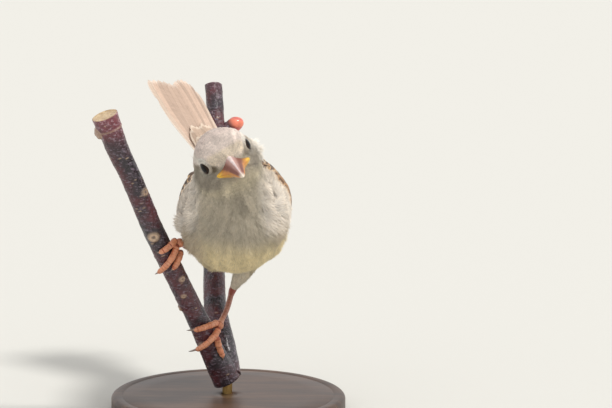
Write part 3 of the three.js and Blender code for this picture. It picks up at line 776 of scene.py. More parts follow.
def barb_tip(name, seed, collection, barbs=9, fan=19, width=0.046, rows=(0, 0.5, 1)):
    """A loose tip: thin barbs that part from one root."""
    rng = np.random.default_rng(seed)
    points, faces, along, across = [], [], [], []
    for n in range(barbs):
        side = (n + 0.5) / barbs * 2 - 1
        angle = math.radians(fan) * side + rng.normal(0, 0.05)
        length = 1 - 0.22 * abs(side) - rng.uniform(0, 0.16)
        half = width * rng.uniform(0.75, 1.2) / 2
        roll = rng.uniform(-0.5, 0.5)
        sink = -0.10 - 0.05 * abs(side)
        first = len(points)
        for i, row in enumerate(rows):
            y = row * length
            x = 0.05 * side + math.tan(angle) * y * (0.7 + 0.3 * row)
            z = sink * row**2 + 0.015 * (n % 2)
            w = half * (1 - 0.3 * abs(row - 0.5))
            last = i == len(rows) - 1
            for edge in ((0,) if last else (-1, 1)):
                points.append((x + edge * w, y, z + edge * w * roll))
                along.append(row)
                across.append(side)
        for i in range(len(rows) - 2):
            a = first + 2 * i
            faces.append((a, a + 1, a + 3, a + 2))
        a = first + 2 * (len(rows) - 2)
        faces.append((a, a + 1, a + 2))
    return feather_object(name, points, faces, along, across, collection)


loose_tips = bpy.data.collections.new("loose_tips")
fine_tips = bpy.data.collections.new("fine_tips")
TIP_KINDS = 6
for n in range(TIP_KINDS):
    barb_tip(f"loose_{n}", 10 + n, loose_tips)
    barb_tip(f"fine_{n}", 30 + n, fine_tips, barbs=7, fan=22, width=0.08, rows=(0, 0.6, 1))

# %% [markdown]
# ## The coat as geometry nodes
# A tree does what a taxidermist's patience can't: it scatters roots over one zone of the skin, no two
# closer than a spacing, turns each tip along the lie, lifts it a little off the skin, sets it down, and
# realizes it as plain mesh. Each root keeps its place on the skin's unwrap, and its tip gets a small
# patch there, so that coat and skin share one map.


# %% Geometry nodes: lay a coat
def new_tree(name, sockets):
    """An empty tree from geometry to geometry with named inputs, and its two ends."""
    tree = bpy.data.node_groups.new(name, "GeometryNodeTree")
    tree.interface.new_socket("Geometry", in_out="INPUT", socket_type="NodeSocketGeometry")
    for label, kind in sockets:
        tree.interface.new_socket(label, in_out="INPUT", socket_type=kind)
    tree.interface.new_socket("Geometry", in_out="OUTPUT", socket_type="NodeSocketGeometry")
    return tree, tree.nodes.new("NodeGroupInput"), tree.nodes.new("NodeGroupOutput")


def named(tree, name, kind):
    return node(tree, "GeometryNodeInputNamedAttribute", data_type=kind, Name=name).outputs["Attribute"]


def calculate(tree, operation, *values, kind="ShaderNodeMath"):
    """A sum, product or the like of values and other nodes' outputs."""
    made = node(tree, kind, operation=operation)
    for value, socket in zip(values, made.inputs):
        feed(tree, value, socket)
    return made.outputs["Value" if kind == "ShaderNodeMath" else "Vector"]


def steer(tree, operation, *directions):
    """As calculate, for directions."""
    return calculate(tree, operation, *directions, kind="ShaderNodeVectorMath")


def scaled(tree, vector, by):
    made = node(tree, "ShaderNodeVectorMath", operation="SCALE", Scale=by)
    feed(tree, vector, made.inputs[0])
    return made.outputs["Vector"]


def between(tree, low, high, seed, offset, whole=False):
    """A random value for each root, from the tree's own seed."""
    made = node(tree, "FunctionNodeRandomValue", data_type="INT" if whole else "FLOAT", Min=low, Max=high,
                Seed=calculate(tree, "ADD", seed, float(offset)))
    return next(socket for socket in made.outputs if socket.enabled)


def keep_named(tree, geometry, name, value, kind, domain="POINT"):
    made = node(tree, "GeometryNodeStoreNamedAttribute", data_type=kind, domain=domain,
                Geometry=geometry, Name=name, Value=value)
    return made.outputs["Geometry"]


COAT_INPUTS = [
    ("Tips", "NodeSocketCollection"), ("Zone", "NodeSocketInt"), ("Spacing", "NodeSocketFloat"),
    ("Length", "NodeSocketFloat"), ("Width", "NodeSocketFloat"), ("Lift", "NodeSocketFloat"),
    ("Ruffle", "NodeSocketFloat"), ("Seed", "NodeSocketInt"), ("Finish", "NodeSocketMaterial"),
]
PATCH = 0.003  # how wide each tip's patch is on the skin's unwrap


def coat_tree():
    tree, given, result = new_tree("lay_a_coat", COAT_INPUTS)
    take = given.outputs
    same = node(tree, "FunctionNodeCompare", data_type="INT", operation="EQUAL",
                A=named(tree, "zone", "INT"), B=take["Zone"])
    square = calculate(tree, "MULTIPLY", take["Spacing"], take["Spacing"])
    scatter = node(
        tree, "GeometryNodeDistributePointsOnFaces", distribute_method="POISSON", Mesh=take["Geometry"],
        Selection=same.outputs["Result"], Distance_Min=take["Spacing"], Seed=take["Seed"],
        Density_Max=calculate(tree, "DIVIDE", 4.0, square))
    place = named(tree, "OFBake", "FLOAT_VECTOR")
    roots = keep_named(tree, scatter.outputs["Points"], "root", place, "FLOAT_VECTOR")
    roots = keep_named(tree, roots, "tint", between(tree, -1.0, 1.0, take["Seed"], 5), "FLOAT")

    up = scatter.outputs["Normal"]
    back = named(tree, "lie", "FLOAT_VECTOR")
    aside = steer(tree, "CROSS_PRODUCT", back, up)
    sway = calculate(tree, "MULTIPLY", between(tree, -1.0, 1.0, take["Seed"], 1), take["Ruffle"])
    way = steer(tree, "NORMALIZE", steer(tree, "ADD", back, scaled(tree, aside, sway)))
    lift = calculate(tree, "MULTIPLY", take["Lift"], between(tree, 0.6, 1.4, take["Seed"], 2))
    lift = calculate(tree, "MULTIPLY", lift, named(tree, "stand", "FLOAT"))
    rise = scaled(tree, up, calculate(tree, "SINE", lift))
    way = steer(tree, "ADD", scaled(tree, way, calculate(tree, "COSINE", lift)), rise)
    turned = node(tree, "FunctionNodeAxesToRotation", primary_axis="Y", secondary_axis="Z",
                  Primary_Axis=way, Secondary_Axis=up)

    long = calculate(tree, "MULTIPLY", named(tree, "length", "FLOAT"), take["Length"])
    long = calculate(tree, "MULTIPLY", long, between(tree, 0.8 * MM, 1.15 * MM, take["Seed"], 3))
    wide = calculate(tree, "MULTIPLY", long, take["Width"])
    size = node(tree, "ShaderNodeCombineXYZ", X=wide, Y=long, Z=long)
    tips = node(tree, "GeometryNodeCollectionInfo", Separate_Children=True, Reset_Children=True,
                Collection=take["Tips"])
    set_down = node(
        tree, "GeometryNodeInstanceOnPoints", Pick_Instance=True, Points=roots, Instance=tips.outputs[0],
        Instance_Index=between(tree, 0, TIP_KINDS - 1, take["Seed"], 4, whole=True),
        Rotation=turned.outputs["Rotation"], Scale=size.outputs[0])
    real = node(tree, "GeometryNodeRealizeInstances", Geometry=set_down.outputs["Instances"])

    right = calculate(tree, "MULTIPLY", named(tree, "across", "FLOAT"), 0.5)
    ahead = calculate(tree, "SUBTRACT", named(tree, "along", "FLOAT"), 0.5)
    spot = node(tree, "ShaderNodeCombineXYZ", X=right, Y=ahead)
    on_map = steer(tree, "ADD", named(tree, "root", "FLOAT_VECTOR"), scaled(tree, spot.outputs[0], PATCH))
    coat = keep_named(tree, real.outputs[0], "OFBake", on_map, "FLOAT2", "CORNER")
    for name in ("root", "lie", "length", "stand", "zone"):
        coat = node(tree, "GeometryNodeRemoveAttribute", Geometry=coat, Name=name).outputs["Geometry"]
    paint = node(tree, "GeometryNodeSetMaterial", Geometry=coat, Material=take["Finish"])
    feed(tree, paint.outputs["Geometry"], result.inputs["Geometry"])
    return tree


COAT_TREE = coat_tree()


def grown(base, name, tree, **values):
    """Runs a tree over a mesh and returns what it makes as a plain mesh object."""
    carrier = bpy.data.objects.new(name + "_carrier", base.data)
    bpy.context.collection.objects.link(carrier)
    modifier = carrier.modifiers.new("grow", "NODES")
    modifier.node_group = tree
    wanted = {key.replace("_", " ").lower(): value for key, value in values.items()}
    for item in tree.interface.items_tree:
        if item.in_out == "INPUT" and item.name.lower() in wanted:
            modifier[item.identifier] = wanted[item.name.lower()]
    carrier.update_tag()
    graph = bpy.context.evaluated_depsgraph_get()
    mesh = bpy.data.meshes.new_from_object(carrier.evaluated_get(graph))
    bpy.data.objects.remove(carrier)
    mesh.name = name
    made = bpy.data.objects.new(name, mesh)
    bpy.context.collection.objects.link(made)
    mesh.calc_loop_triangles()
    print(f"{name}: {len(mesh.loop_triangles)} triangles")
    return made


# %% [markdown]
# ## Colour of feathers
# Each feather has one pigment, a little lighter or darker than its neighbours. It is greyer and darker
# near its root, in the shade of the feathers in front, and palest at its worn tip. The same group serves
# the skin and the loose tips, each with its own numbers.


# %% Shader group: feather tone
def shader_group(name, inputs, outputs):
    group = bpy.data.node_groups.new(name, "ShaderNodeTree")
    for label, kind, value in inputs:
        made = group.interface.new_socket(label, in_out="INPUT", socket_type=kind)
        made.default_value = value
    for label, kind in outputs:
        group.interface.new_socket(label, in_out="OUTPUT", socket_type=kind)
    return group, group.nodes.new("NodeGroupInput"), group.nodes.new("NodeGroupOutput")


def attribute(tree, name, output="Fac"):
    return node(tree, "ShaderNodeAttribute", attribute_name=name).outputs[output]


def noise(tree, scale, detail, where=None, **more):
    """Uneven shade, fixed to the object's own coordinates or to another place."""
    if where is None:
        where = node(tree, "ShaderNodeTexCoord").outputs["Object"]
    return node(tree, "ShaderNodeTexNoise", Scale=scale, Detail=detail, Vector=where, **more).outputs["Fac"]


def mixed(tree, share, first, second, blend="MIX"):
    made = node(tree, "ShaderNodeMix", data_type="RGBA", blend_type=blend)
    for place, value in ((0, share), (6, first), (7, second)):
        feed(tree, value, made.inputs[place])
    return made.outputs[2]


def ramp(tree, value, *stops):
    """A ramp from (place, shade) stops, where a shade is a number or a colour."""
    made = node(tree, "ShaderNodeValToRGB")
    marks = made.color_ramp.elements
    while len(marks) < len(stops):
        marks.new(0.5)
    for mark, (place, shade) in zip(marks, stops):
        mark.position = place
        mark.color = shade if hasattr(shade, "__len__") else (shade, shade, shade, 1)
    tree.links.new(value, made.inputs[0])
    return made.outputs["Color"]


def feather_tone():
    sockets = [
        ("Pigment", "NodeSocketColor", (0.5, 0.5, 0.5, 1)), ("Tint", "NodeSocketFloat", 0.0),
        ("Along", "NodeSocketFloat", 1.0), ("Root shade", "NodeSocketFloat", 0.6),
        ("Tip light", "NodeSocketFloat", 1.08), ("Spread", "NodeSocketFloat", 0.12),
    ]
    group, given, result = shader_group("feather_tone", sockets, [("Color", "NodeSocketColor")])
    take = given.outputs
    shade = node(group, "ShaderNodeMapRange", interpolation_type="SMOOTHSTEP", Value=take["Along"],
                 To_Min=take["Root shade"], To_Max=take["Tip light"])
    grain = calculate(group, "MULTIPLY_ADD", noise(group, 900.0, 2.0), 0.22, 0.89)
    uneven = calculate(group, "ADD", calculate(group, "MULTIPLY", take["Tint"], take["Spread"]), 1.0)
    value = calculate(group, "MULTIPLY", calculate(group, "MULTIPLY", shade.outputs["Result"], uneven), grain)
    strength = calculate(group, "MULTIPLY_ADD", take["Along"], 0.2, 0.85)
    tone = node(group, "ShaderNodeHueSaturation", Hue=0.5, Fac=1.0, Value=value, Saturation=strength,
                Color=take["Pigment"])
    feed(group, tone.outputs["Color"], result.inputs["Color"])
    return group


FEATHER_TONE = feather_tone()


def new_material(name, **settings):
    """A Principled material; settings are plain values for its sockets."""
    made = bpy.data.materials.new(name)
    made.use_nodes = True
    shader = made.node_tree.nodes["Principled BSDF"]
    for label, value in settings.items():
        shader.inputs[label.replace("_", " ")].default_value = value
    return made, made.node_tree, shader


def bumped(tree, shader, height, strength, distance):
    """Lets a height tilt the light on a surface, by a distance in metres."""
    bump = node(tree, "ShaderNodeBump", Strength=strength, Distance=distance, Height=height)
    feed(tree, bump.outputs["Normal"], shader.inputs["Normal"])


SOFT_PLUMAGE, plumage_tree, plumage_shader = new_material(
    "soft_plumage", Roughness=0.82, Sheen_Weight=0.12, Sheen_Roughness=0.5, Specular_IOR_Level=0.25)
plumage_tone = node(
    plumage_tree, "ShaderNodeGroup", node_tree=FEATHER_TONE, Root_shade=0.68, Tip_light=1.1, Spread=0.13,
    Pigment=attribute(plumage_tree, "pigment", "Color"), Tint=attribute(plumage_tree, "tint"),
    Along=attribute(plumage_tree, "along"))
feed(plumage_tree, plumage_tone.outputs["Color"], plumage_shader.inputs["Base Color"])
# The skin, and the wing's bed that uses this paint, are painted at 0.72 of their pigment: painted shade under
# the coat.
skin_paint, skin_tree, skin_shader = new_material("downy_skin", Roughness=0.9, Specular_IOR_Level=0.2)
skin_tone = node(
    skin_tree, "ShaderNodeGroup", node_tree=FEATHER_TONE, Root_shade=0.5, Tip_light=0.72, Spread=0.0,
    Pigment=attribute(skin_tree, "pigment", "Color"))
feed(skin_tree, skin_tone.outputs["Color"], skin_shader.inputs["Base Color"])
skin.data.materials.append(skin_paint)
print("plumage is mixed")

# %% [markdown]
# ## Zones
# Feathers on the face are scales barely a millimetre long; those on the belly are loose and four times
# longer. The coat is laid zone by zone, each with its own tips, spacing and lift. Where a wing lies on the
# flank, where the bill grows and round the eyes, nothing is laid.

# %% Where each kind of tip grows
ZONE_NAMES = ["none", "face", "crown", "throat", "breast", "belly", "mantle", "rump", "legs", "nape", "flank",
              "shoulder", "cheek"]
ZONES = {name: n for n, name in enumerate(ZONE_NAMES)}


def under_wing(t, margin):
    """True where a trunk-frame point lies under a folded wing, margin degrees inside its edges."""
    hidden = np.zeros(len(t), bool)
    for side in WING_FRONT:
        v, angle, low, high = wing_place(t, side)
        inner = margin + 16 * smooth(v, 0.45, 0.58)
        hidden |= (v > 0.07) & (v < 0.9) & (angle > low + inner) & (angle < high - inner)
    return hidden


def before_wing(t):
    """True in the strip of skin just before a folded wing."""
    strip = np.zeros(len(t), bool)
    for side in WING_FRONT:
        v, angle, _, _ = wing_place(t, side)
        strip |= (v > -0.11) & (v < 0.06) & (angle > -24) & (angle < 66)
    return strip


BILL = {  # in the head's frame: stations along it, half its width, its heights over and under the gape
    "root": -5.5, "base": -8.6, "tip": -21.6, "half": 4.4, "upper": 5.6, "lower": 3.3, "gape": -2.4,
    "flange": 2.3,
}


def zones_of(p):
    h, t, b = (apply(m, p) for m in (TO_HEAD, TO_TRUNK, TO_TAIL))
    from_head = np.linalg.norm(h - (0, 1, -1), axis=1)
    zone = np.full(len(p), ZONES["belly"])
    zone[(t[:, 1] < 1) & (t[:, 2] < 9)] = ZONES["breast"]
    zone[(zone == ZONES["breast"]) & (np.abs(t[:, 0]) > 9.5)] = ZONES["flank"]
    zone[(t[:, 2] > 6) & (t[:, 1] > -13)] = ZONES["mantle"]
    zone[((t[:, 1] > 19) & (t[:, 2] > 1)) | (b[:, 1] > -3)] = ZONES["rump"]
    for side in ANKLES:
        foot = np.array(ANKLES[side])
        axis = apply(TRUNK, HIPS[side]) - foot
        share = ((p - foot) @ axis) / (axis @ axis)
        zone[(share < 0.72) & (thigh_fields[side](p) < 0.5) & (body_field(p) > -2.6)] = ZONES["legs"]
    neck = (from_head < 23) & (t[:, 1] < -9) & (zone != ZONES["legs"])
    zone[neck & (h[:, 2] < -4)] = ZONES["throat"]
    zone[neck & (h[:, 2] >= -4)] = ZONES["nape"]
    zone[from_head < 13.2] = ZONES["crown"]
    zone[(from_head < 13.6) & ((h[:, 1] < 0.2) | (h[:, 2] < -1.0))] = ZONES["face"]
    zone[(zone == ZONES["face"]) & (cheek_of(p) > 0.3)] = ZONES["cheek"]
    zone[before_wing(t) & (from_head > 13.4)] = ZONES["shoulder"]
    zone[under_wing(t, 9)] = ZONES["none"]
    from_gape = h[:, 2] - BILL["gape"]
    tall = np.where(from_gape > 0, BILL["upper"], BILL["lower"])
    inside = (np.abs(h[:, 0]) / BILL["half"]) ** 1.6 + (np.abs(from_gape) / tall) ** 1.3
    zone[(h[:, 1] < -7.0) & (inside < 0.62)] = ZONES["none"]
    for middle in EYES.values():
        zone[np.linalg.norm(p - middle, axis=1) < EYE_RADIUS + 0.02] = ZONES["none"]
    return zone


skin_zone = zones_of(skin_points)
face_zone = np.max(skin_zone[skin_faces], axis=1)
face_zone[(skin_zone[skin_faces] == 0).any(1)] = 0
layer = skin.data.attributes.new("zone", "INT", "FACE")
layer.data.foreach_set("value", face_zone.astype(np.int32))
stand = 1 + 0.7 * cheek_of(skin_points) + 0.5 * wing_rim(at_trunk) + 1.1 * wing_lining(at_trunk)
store(skin.data, "stand", stand)
CELL_AREA = 1.15 * SKIN_CELL**2  # a face of the net is a little larger than its grid's square
area = {name: round(float((face_zone == n).sum()) * CELL_AREA) for name, n in ZONES.items()}
print("square millimetres in each zone:", area)

# %% Lay the coat
LAYOUT = {
    # zone and layer: tips, spacing, length, width, lift in degrees, ruffle
    "face": (fine_tips, 0.215, 1.0, 1.1, 14, 0.30),
    "cheek": (fine_tips, 0.24, 1.0, 1.1, 16, 0.30),
    "cheek_ruffled": (loose_tips, 0.60, 1.7, 0.65, 20, 0.5),
    "crown": (fine_tips, 0.205, 1.0, 1.0, 12, 0.22),
    "nape": (loose_tips, 0.30, 1.0, 1.0, 14, 0.25),
    "throat": (loose_tips, 0.27, 1.0, 1.0, 15, 0.28),
    "breast": (loose_tips, 0.33, 1.0, 1.0, 16, 0.25),
    "flank": (loose_tips, 0.34, 1.0, 1.0, 16, 0.25),
    "shoulder": (loose_tips, 0.32, 1.1, 1.0, 19, 0.35),
    "belly": (loose_tips, 0.36, 1.0, 1.0, 16, 0.28),
    "mantle": (loose_tips, 0.38, 1.15, 1.0, 13, 0.16),
    "rump": (loose_tips, 0.36, 1.0, 1.0, 14, 0.22),
    "legs": (loose_tips, 0.31, 1.0, 1.0, 17, 0.30),
}
coat = []
for n, (zone, (tips, spacing, length, width, lift, ruffle)) in enumerate(LAYOUT.items()):
    coat.append(grown(
        skin, "coat_" + zone, COAT_TREE, tips=tips, zone=ZONES[zone.split("_")[0]], spacing=spacing * MM,
        length=length, width=width, lift=math.radians(lift), ruffle=ruffle, seed=100 + n,
        finish=SOFT_PLUMAGE))

# %% [markdown]
# ## Eyes and lids
# A sparrow's eye is a dark ball, much wider than what shows of it. The lids close over it like the
# edge of a hood, and leave an opening a little wider than high. The ball is made whole and very smooth,
# because its one bright glint is what makes the bird look alive. The lids are a separate shell round it,
# highest at the rim, that dives under the feathers.


# %% Eyes and lids
def grid_faces(rows, columns, closed=False):
    """Four-sided faces for a grid of rows x columns points, closed round the columns if asked."""
    r = np.arange(rows - 1)[:, None]
    c = np.arange(columns if closed else columns - 1)[None, :]
    ahead = (c + 1) % columns
    near, far = r * columns, (r + 1) * columns
    return np.stack(np.broadcast_arrays(near + c, near + ahead, far + ahead, far + c), -1).reshape(-1, 4)


def closed_tube(rings):
    """Points and faces of a tube from its rings, with a fan of triangles over each end."""
    rows, columns = rings.shape[:2]
    points = np.concatenate([rings.reshape(-1, 3), rings[:1].mean(1), rings[-1:].mean(1)])
    faces = [tuple(face) for face in grid_faces(rows, columns, True)]
    for row, middle in ((0, rows * columns), (rows - 1, rows * columns + 1)):
        ring = np.arange(columns) + row * columns
        faces += [(b, a, middle) if row == 0 else (a, b, middle) for a, b in zip(ring, np.roll(ring, -1))]
    return points, faces


def shape_piece(name, points, faces, material=None):
    """A mesh object from millimetre points and faces with any number of corners."""
    mesh = bpy.data.meshes.new(name)
    mesh.from_pydata((np.asarray(points) * MM).tolist(), [], [tuple(int(i) for i in f) for f in faces])
    mesh.update()
    mesh.shade_smooth()
    if material:
        mesh.materials.append(material)
    made = bpy.data.objects.new(name, mesh)
    bpy.context.collection.objects.link(made)
    return made


def face_outwards(made):
    """Turns a closed mesh inside out if its volume comes out negative."""
    mesh = made.data
    mesh.calc_loop_triangles()
    corners = np.empty(len(mesh.loop_triangles) * 3, np.int32)
    mesh.loop_triangles.foreach_get("vertices", corners)
    where = np.empty(len(mesh.vertices) * 3, np.float32)
    mesh.vertices.foreach_get("co", where)
    a, b, c = np.moveaxis(where.reshape(-1, 3)[corners].reshape(-1, 3, 3), 1, 0)
    if (a * np.cross(b, c)).sum() < 0:
        mesh.flip_normals()
    return made


EYE_LOOKS = {1: unit(HEAD[:3, :3] @ (1, -0.36, 0.06)), -1: unit(HEAD[:3, :3] @ (-1, -0.36, 0.06))}


def eye_frame(side):
    look = EYE_LOOKS[side]
    up = unit(HEAD[:3, 2] - look * (HEAD[:3, 2] @ look))
    return look, up, np.cross(up, look)


def eye_point(side, angle, round_it, reach):
    """A point round an eye: angle from where it looks, turn about that, and distance from the middle."""
    look, up, aside = eye_frame(side)
    way = np.cos(angle)[..., None] * look + np.sin(angle)[..., None] * (
        np.cos(round_it)[..., None] * aside + np.sin(round_it)[..., None] * up)
    return EYES[side] + way * np.asarray(reach)[..., None]


eye_paint, eye_tree, eye_shader = new_material(
    "wet_dark_eye", Roughness=0.05, IOR=1.36, Specular_IOR_Level=0.28)
iris_colour = ramp(eye_tree, attribute(eye_tree, "angle"), (0.0, rgba(6, 5, 5)), (0.30, rgba(7, 5, 5)),
                   (0.36, rgba(40, 24, 14)), (0.62, rgba(30, 18, 12)), (0.75, rgba(9, 7, 6)))
feed(eye_tree, iris_colour, eye_shader.inputs["Base Color"])
lid_paint, lid_tree, lid_shader = new_material("lid_skin", Roughness=0.6)
lid_colour = ramp(lid_tree, attribute(lid_tree, "from_rim"), (0.0, rgba(34, 28, 25)),
                  (0.07, rgba(60, 50, 44)), (0.14, rgba(176, 165, 150)), (1.0, rgba(150, 140, 124)))
feed(lid_tree, lid_colour, lid_shader.inputs["Base Color"])
bumped(lid_tree, lid_shader, noise(lid_tree, 2600.0, 2.0), 0.35, 0.0001)

eyeballs, lids = {}, {}
for side, label in ((1, "left"), (-1, "right")):
    rows, columns = 40, 64
    polar = np.linspace(0.001, math.pi - 0.001, rows)
    azimuth = np.linspace(0, 2 * math.pi, columns, endpoint=False)
    a, r = np.meshgrid(polar, azimuth, indexing="ij")
    ball = eye_point(side, a, r, np.full(a.shape, EYE_RADIUS))
    made = face_outwards(shape_piece("eyeball_" + label, *closed_tube(ball), eye_paint))
    store(made.data, "angle", np.concatenate([a.ravel() / math.pi * 2, [0, 2]]))
    eyeballs[label] = made

    rows, columns = 12, 96
    azimuth = np.linspace(0, 2 * math.pi, columns, endpoint=False)
    wide = math.asin(2.35 / EYE_RADIUS)
    high = np.where(np.sin(azimuth) > 0, math.asin(1.9 / EYE_RADIUS), math.asin(2.05 / EYE_RADIUS))
    almond = 1.85  # 2 would be an oval
    opening = np.abs(np.cos(azimuth) / wide) ** almond + np.abs(np.sin(azimuth) / high) ** almond
    opening **= -1 / almond
    outwards = np.array([-2.5, 0, 1.2, 2.5, 5, 8, 12, 17, 23, 30, 38, 46.0])
    heights = np.array([-0.08, 0.04, 0.09, 0.11, 0.11, 0.10, 0.09, 0.08, 0.08, 0.08, 0.08, 0.07])
    a = opening[None, :] + np.radians(outwards)[:, None]
    from_fold = outwards[:, None] - 9
    crease = 0.035 * np.sin(azimuth * 46 + 2 * np.sin(azimuth * 5)) * np.exp(-((from_fold / 7) ** 2))
    brow = 0.10 * np.clip(np.sin(azimuth), 0, 1) * np.exp(-((from_fold / 5) ** 2))
    reach = EYE_RADIUS + heights[:, None] + crease + brow
    lid = eye_point(side, a, np.broadcast_to(azimuth, a.shape), reach)
    made = shape_piece("lids_" + label, lid.reshape(-1, 3), grid_faces(rows, columns, True), lid_paint)
    store(made.data, "from_rim", np.repeat(np.clip(outwards, 0, 30) / 30, columns))
    if np.array([p.normal for p in made.data.polygons]).mean(0) @ EYE_LOOKS[side] < 0:
        made.data.flip_normals()
    ways = np.gradient(lid, axis=0).reshape(-1, 3)
    ways += 0.5 * HEAD[:3, 1] * np.linalg.norm(ways, axis=1)[:, None]
    store(made.data, "lie", unit(ways), "FLOAT_VECTOR")
    store(made.data, "pigment", coat_colours(lid.reshape(-1, 3)), "FLOAT_COLOR")
    store(made.data, "length", np.repeat(0.55 + 0.3 * smooth(outwards, 6, 20), columns))
    store(made.data, "stand", np.ones(rows * columns))
    ringed = made.data.attributes.new("zone", "INT", "FACE")
    clear = skin_field(lid.reshape(-1, 3)).reshape(rows, columns)[:-1] > -0.4
    ringed.data.foreach_set("value", (clear & (outwards[:-1] > 1)[:, None]).astype(np.int32).ravel())
    unwrap(made)
    coat.append(grown(
        made, "coat_eye_" + label, COAT_TREE, tips=fine_tips, zone=1, spacing=0.15 * MM, length=1.0,
        width=1.1, lift=math.radians(15), ruffle=0.25, seed=140 + side, finish=SOFT_PLUMAGE))
    lids[label] = made
print("eyes look along", {s: v.round(2).tolist() for s, v in EYE_LOOKS.items()})

# %% [markdown]
# ## Bill
# The bill is a short cone of two horny sheaths. A ridge runs down the upper one, nostrils open at its root,
# and a young bird still has the soft yellow flanges it gaped with as a nestling. The stations are
# those of the solid bill, but drawn much finer, with a real ridge, nostrils and a cutting edge.

# %% Bill
# side is painted shade: the dark red-brown on both sides of the upper mandible. ridge is pale horn with a
# painted highlight. nostril is painted shade in shallow dents.
BILL_COLOURS = {
    "horn": (188, 146, 138), "ridge": (234, 216, 213), "tip": (236, 226, 206), "side": (120, 62, 46),
    "edge": (212, 142, 62), "flange": (240, 190, 58), "fold": (206, 146, 60), "under": (210, 156, 72),
    "under_tip": (204, 158, 130), "nostril": (56, 34, 32), "cere": (196, 164, 168),
}


def bill_station(share_along, level):
    """Where a station of the bill is, its share of the way to the tip, and how far it has narrowed."""
    tip = BILL["tip"] + (0 if level > 0 else 1.2)
    y = BILL["root"] + (tip - BILL["root"]) * share_along
    share = np.clip((BILL["base"] - y) / (BILL["base"] - tip), 0, 1)
    narrowing = (1 - share) ** 0.68 * 0.95 + 0.05
    return y, share, narrowing


def tinted(colours, mask, parts):
    """Lays one colour over the others where its mask is."""
    mask = np.clip(mask, 0, 1)[..., None]
    return colours * (1 - mask) + srgb(*parts) * mask


bill_paint, bill_tree, bill_shader = new_material(
    "young_horn", Roughness=0.4, Coat_Weight=0.12, Coat_Roughness=0.25, Subsurface_Weight=0.12,
    Subsurface_Radius=(0.0012, 0.0006, 0.0004))
bill_noise = noise(bill_tree, 620.0, 4.0, Roughness=0.6)
bill_shade = ramp(bill_tree, bill_noise, (0.3, 0.82), (0.7, 1.12))
bill_colour = mixed(bill_tree, 1.0, attribute(bill_tree, "pigment", "Color"), bill_shade, "MULTIPLY")
feed(bill_tree, bill_colour, bill_shader.inputs["Base Color"])
bumped(bill_tree, bill_shader, bill_noise, 0.25, 0.00015)

bills = {}
for level, label in ((1, "upper"), (-1, "lower")):
    rows, arch = 72, 49
    along = np.linspace(0, 1, rows) ** 0.9
    theta = np.linspace(0, math.pi, arch)
    y, share, narrow = (v[:, None] for v in bill_station(along, level))
    c = np.cos(theta)[None, :]
    s = np.sin(theta)[None, :]
    flange = BILL["flange"] * (1 - smooth(share, 0.02, 0.42))
    x = c * BILL["half"] * narrow + np.sign(c) * flange * np.abs(c) ** 6
    line = BILL["gape"] + 0.5 * np.sin(math.pi * share) - 0.6 * share
    height = BILL["upper"] if level > 0 else BILL["lower"]
    ridged = (1 - np.abs(c) ** 1.35) ** 0.92 if level > 0 else s
    form = 0.28 * s + 0.72 * ridged
    tall = height * narrow**1.1
    gap = 0.10 + 0.06 * smooth(share, 0, 0.3)
    z = line + level * (form * tall + gap * 0.5)
    groove = np.exp(-(((np.abs(c) - 0.93) / 0.05) ** 2)) * smooth(share, 0.1, 0.4) * 0.10
    z = z - level * groove * (form > 0.02)
    nostril = np.zeros_like(x)
    if level > 0:
        nostril = np.exp(-(((share - 0.085) / 0.045) ** 2) - (((np.abs(c) - 0.46) / 0.12) ** 2))
        z = z - 0.55 * nostril
        x = x - np.sign(c) * 0.45 * nostril
    horn = np.stack(np.broadcast_arrays(x, y, z), -1)
    floor_x = np.linspace(1, -1, 11)[None, 1:-1] * x[:, :1]
    inner = np.stack(np.broadcast_arrays(floor_x[:, ::-1], y, line + level * (gap * 0.5 + 0.02)), -1)
    points, faces = closed_tube(np.concatenate([horn, inner], 1))
    made = face_outwards(shape_piece("bill_" + label + "_horn", apply(HEAD, points), faces, bill_paint))

    floor_count = inner.shape[1]
    far = np.repeat(share, arch + floor_count, 1)
    off = np.pad(np.repeat(np.abs(c), rows, 0), ((0, 0), (0, floor_count)), constant_values=0.9)
    ridge_off = off - 0.16 * (1 - far)
    # Painted shade on the upper mandible's sides and in the nostrils, and a painted highlight along the pale
    # ridge.
    if level > 0:
        layers = [
            ((1 - smooth(off, 0.25, 0.6)) * (1 - smooth(far, 0.1, 0.35)) * 0.8, "cere"),
            (smooth(ridge_off, 0.22, 0.55) * (1 - smooth(far, 0.8, 1)) * 0.9, "side"),
            ((1 - smooth(ridge_off, 0.03, 0.15)) * 0.92, "ridge"),
            (smooth(off, 0.82, 0.95) * smooth(far, 0.06, 0.3) * 0.8, "edge"),
            (smooth(far, 0.84, 1.0) * 0.9, "tip"),
            (smooth(np.pad(nostril, ((0, 0), (0, floor_count))), 0.35, 0.75), "nostril"),
        ]
    else:
        layers = [(smooth(far, 0.35, 0.8), "under_tip")]
    fold_edge = 0.80 if level > 0 else 0.62
    layers.append((smooth(off, fold_edge, fold_edge + 0.14) * (1 - smooth(far, 0.10, 0.36)), "fold"))
    layers.append((smooth(off, 0.92, 0.985) * (1 - smooth(far, 0.08, 0.26)), "flange"))
    colours = np.tile(srgb(*BILL_COLOURS["horn" if level > 0 else "under"]), (*far.shape, 1))
    for mask, name in layers:
        colours = tinted(colours, mask, BILL_COLOURS[name])
    ends = colours[[0, -1]].mean(1)
    store(made.data, "pigment", np.concatenate([colours.reshape(-1, 3), ends]), "FLOAT_COLOR")
    bills[label] = made
print("bill reaches", round(BILL["base"] - BILL["tip"], 1), "mm past the feathers")

# %% [markdown]
# ## Folded wings
# A folded wing is a stack of tiles. From the shoulder back come lesser, median and greater coverts, each
# row over the roots of the next; then three broad tertials lie over the secondaries, and the long
# primaries slide out from under them to the tip. Every feather's lower edge lies on the feather below it.
# The wing is drawn flat in millimetres, like a pattern, and each feather is then bent onto the flank.


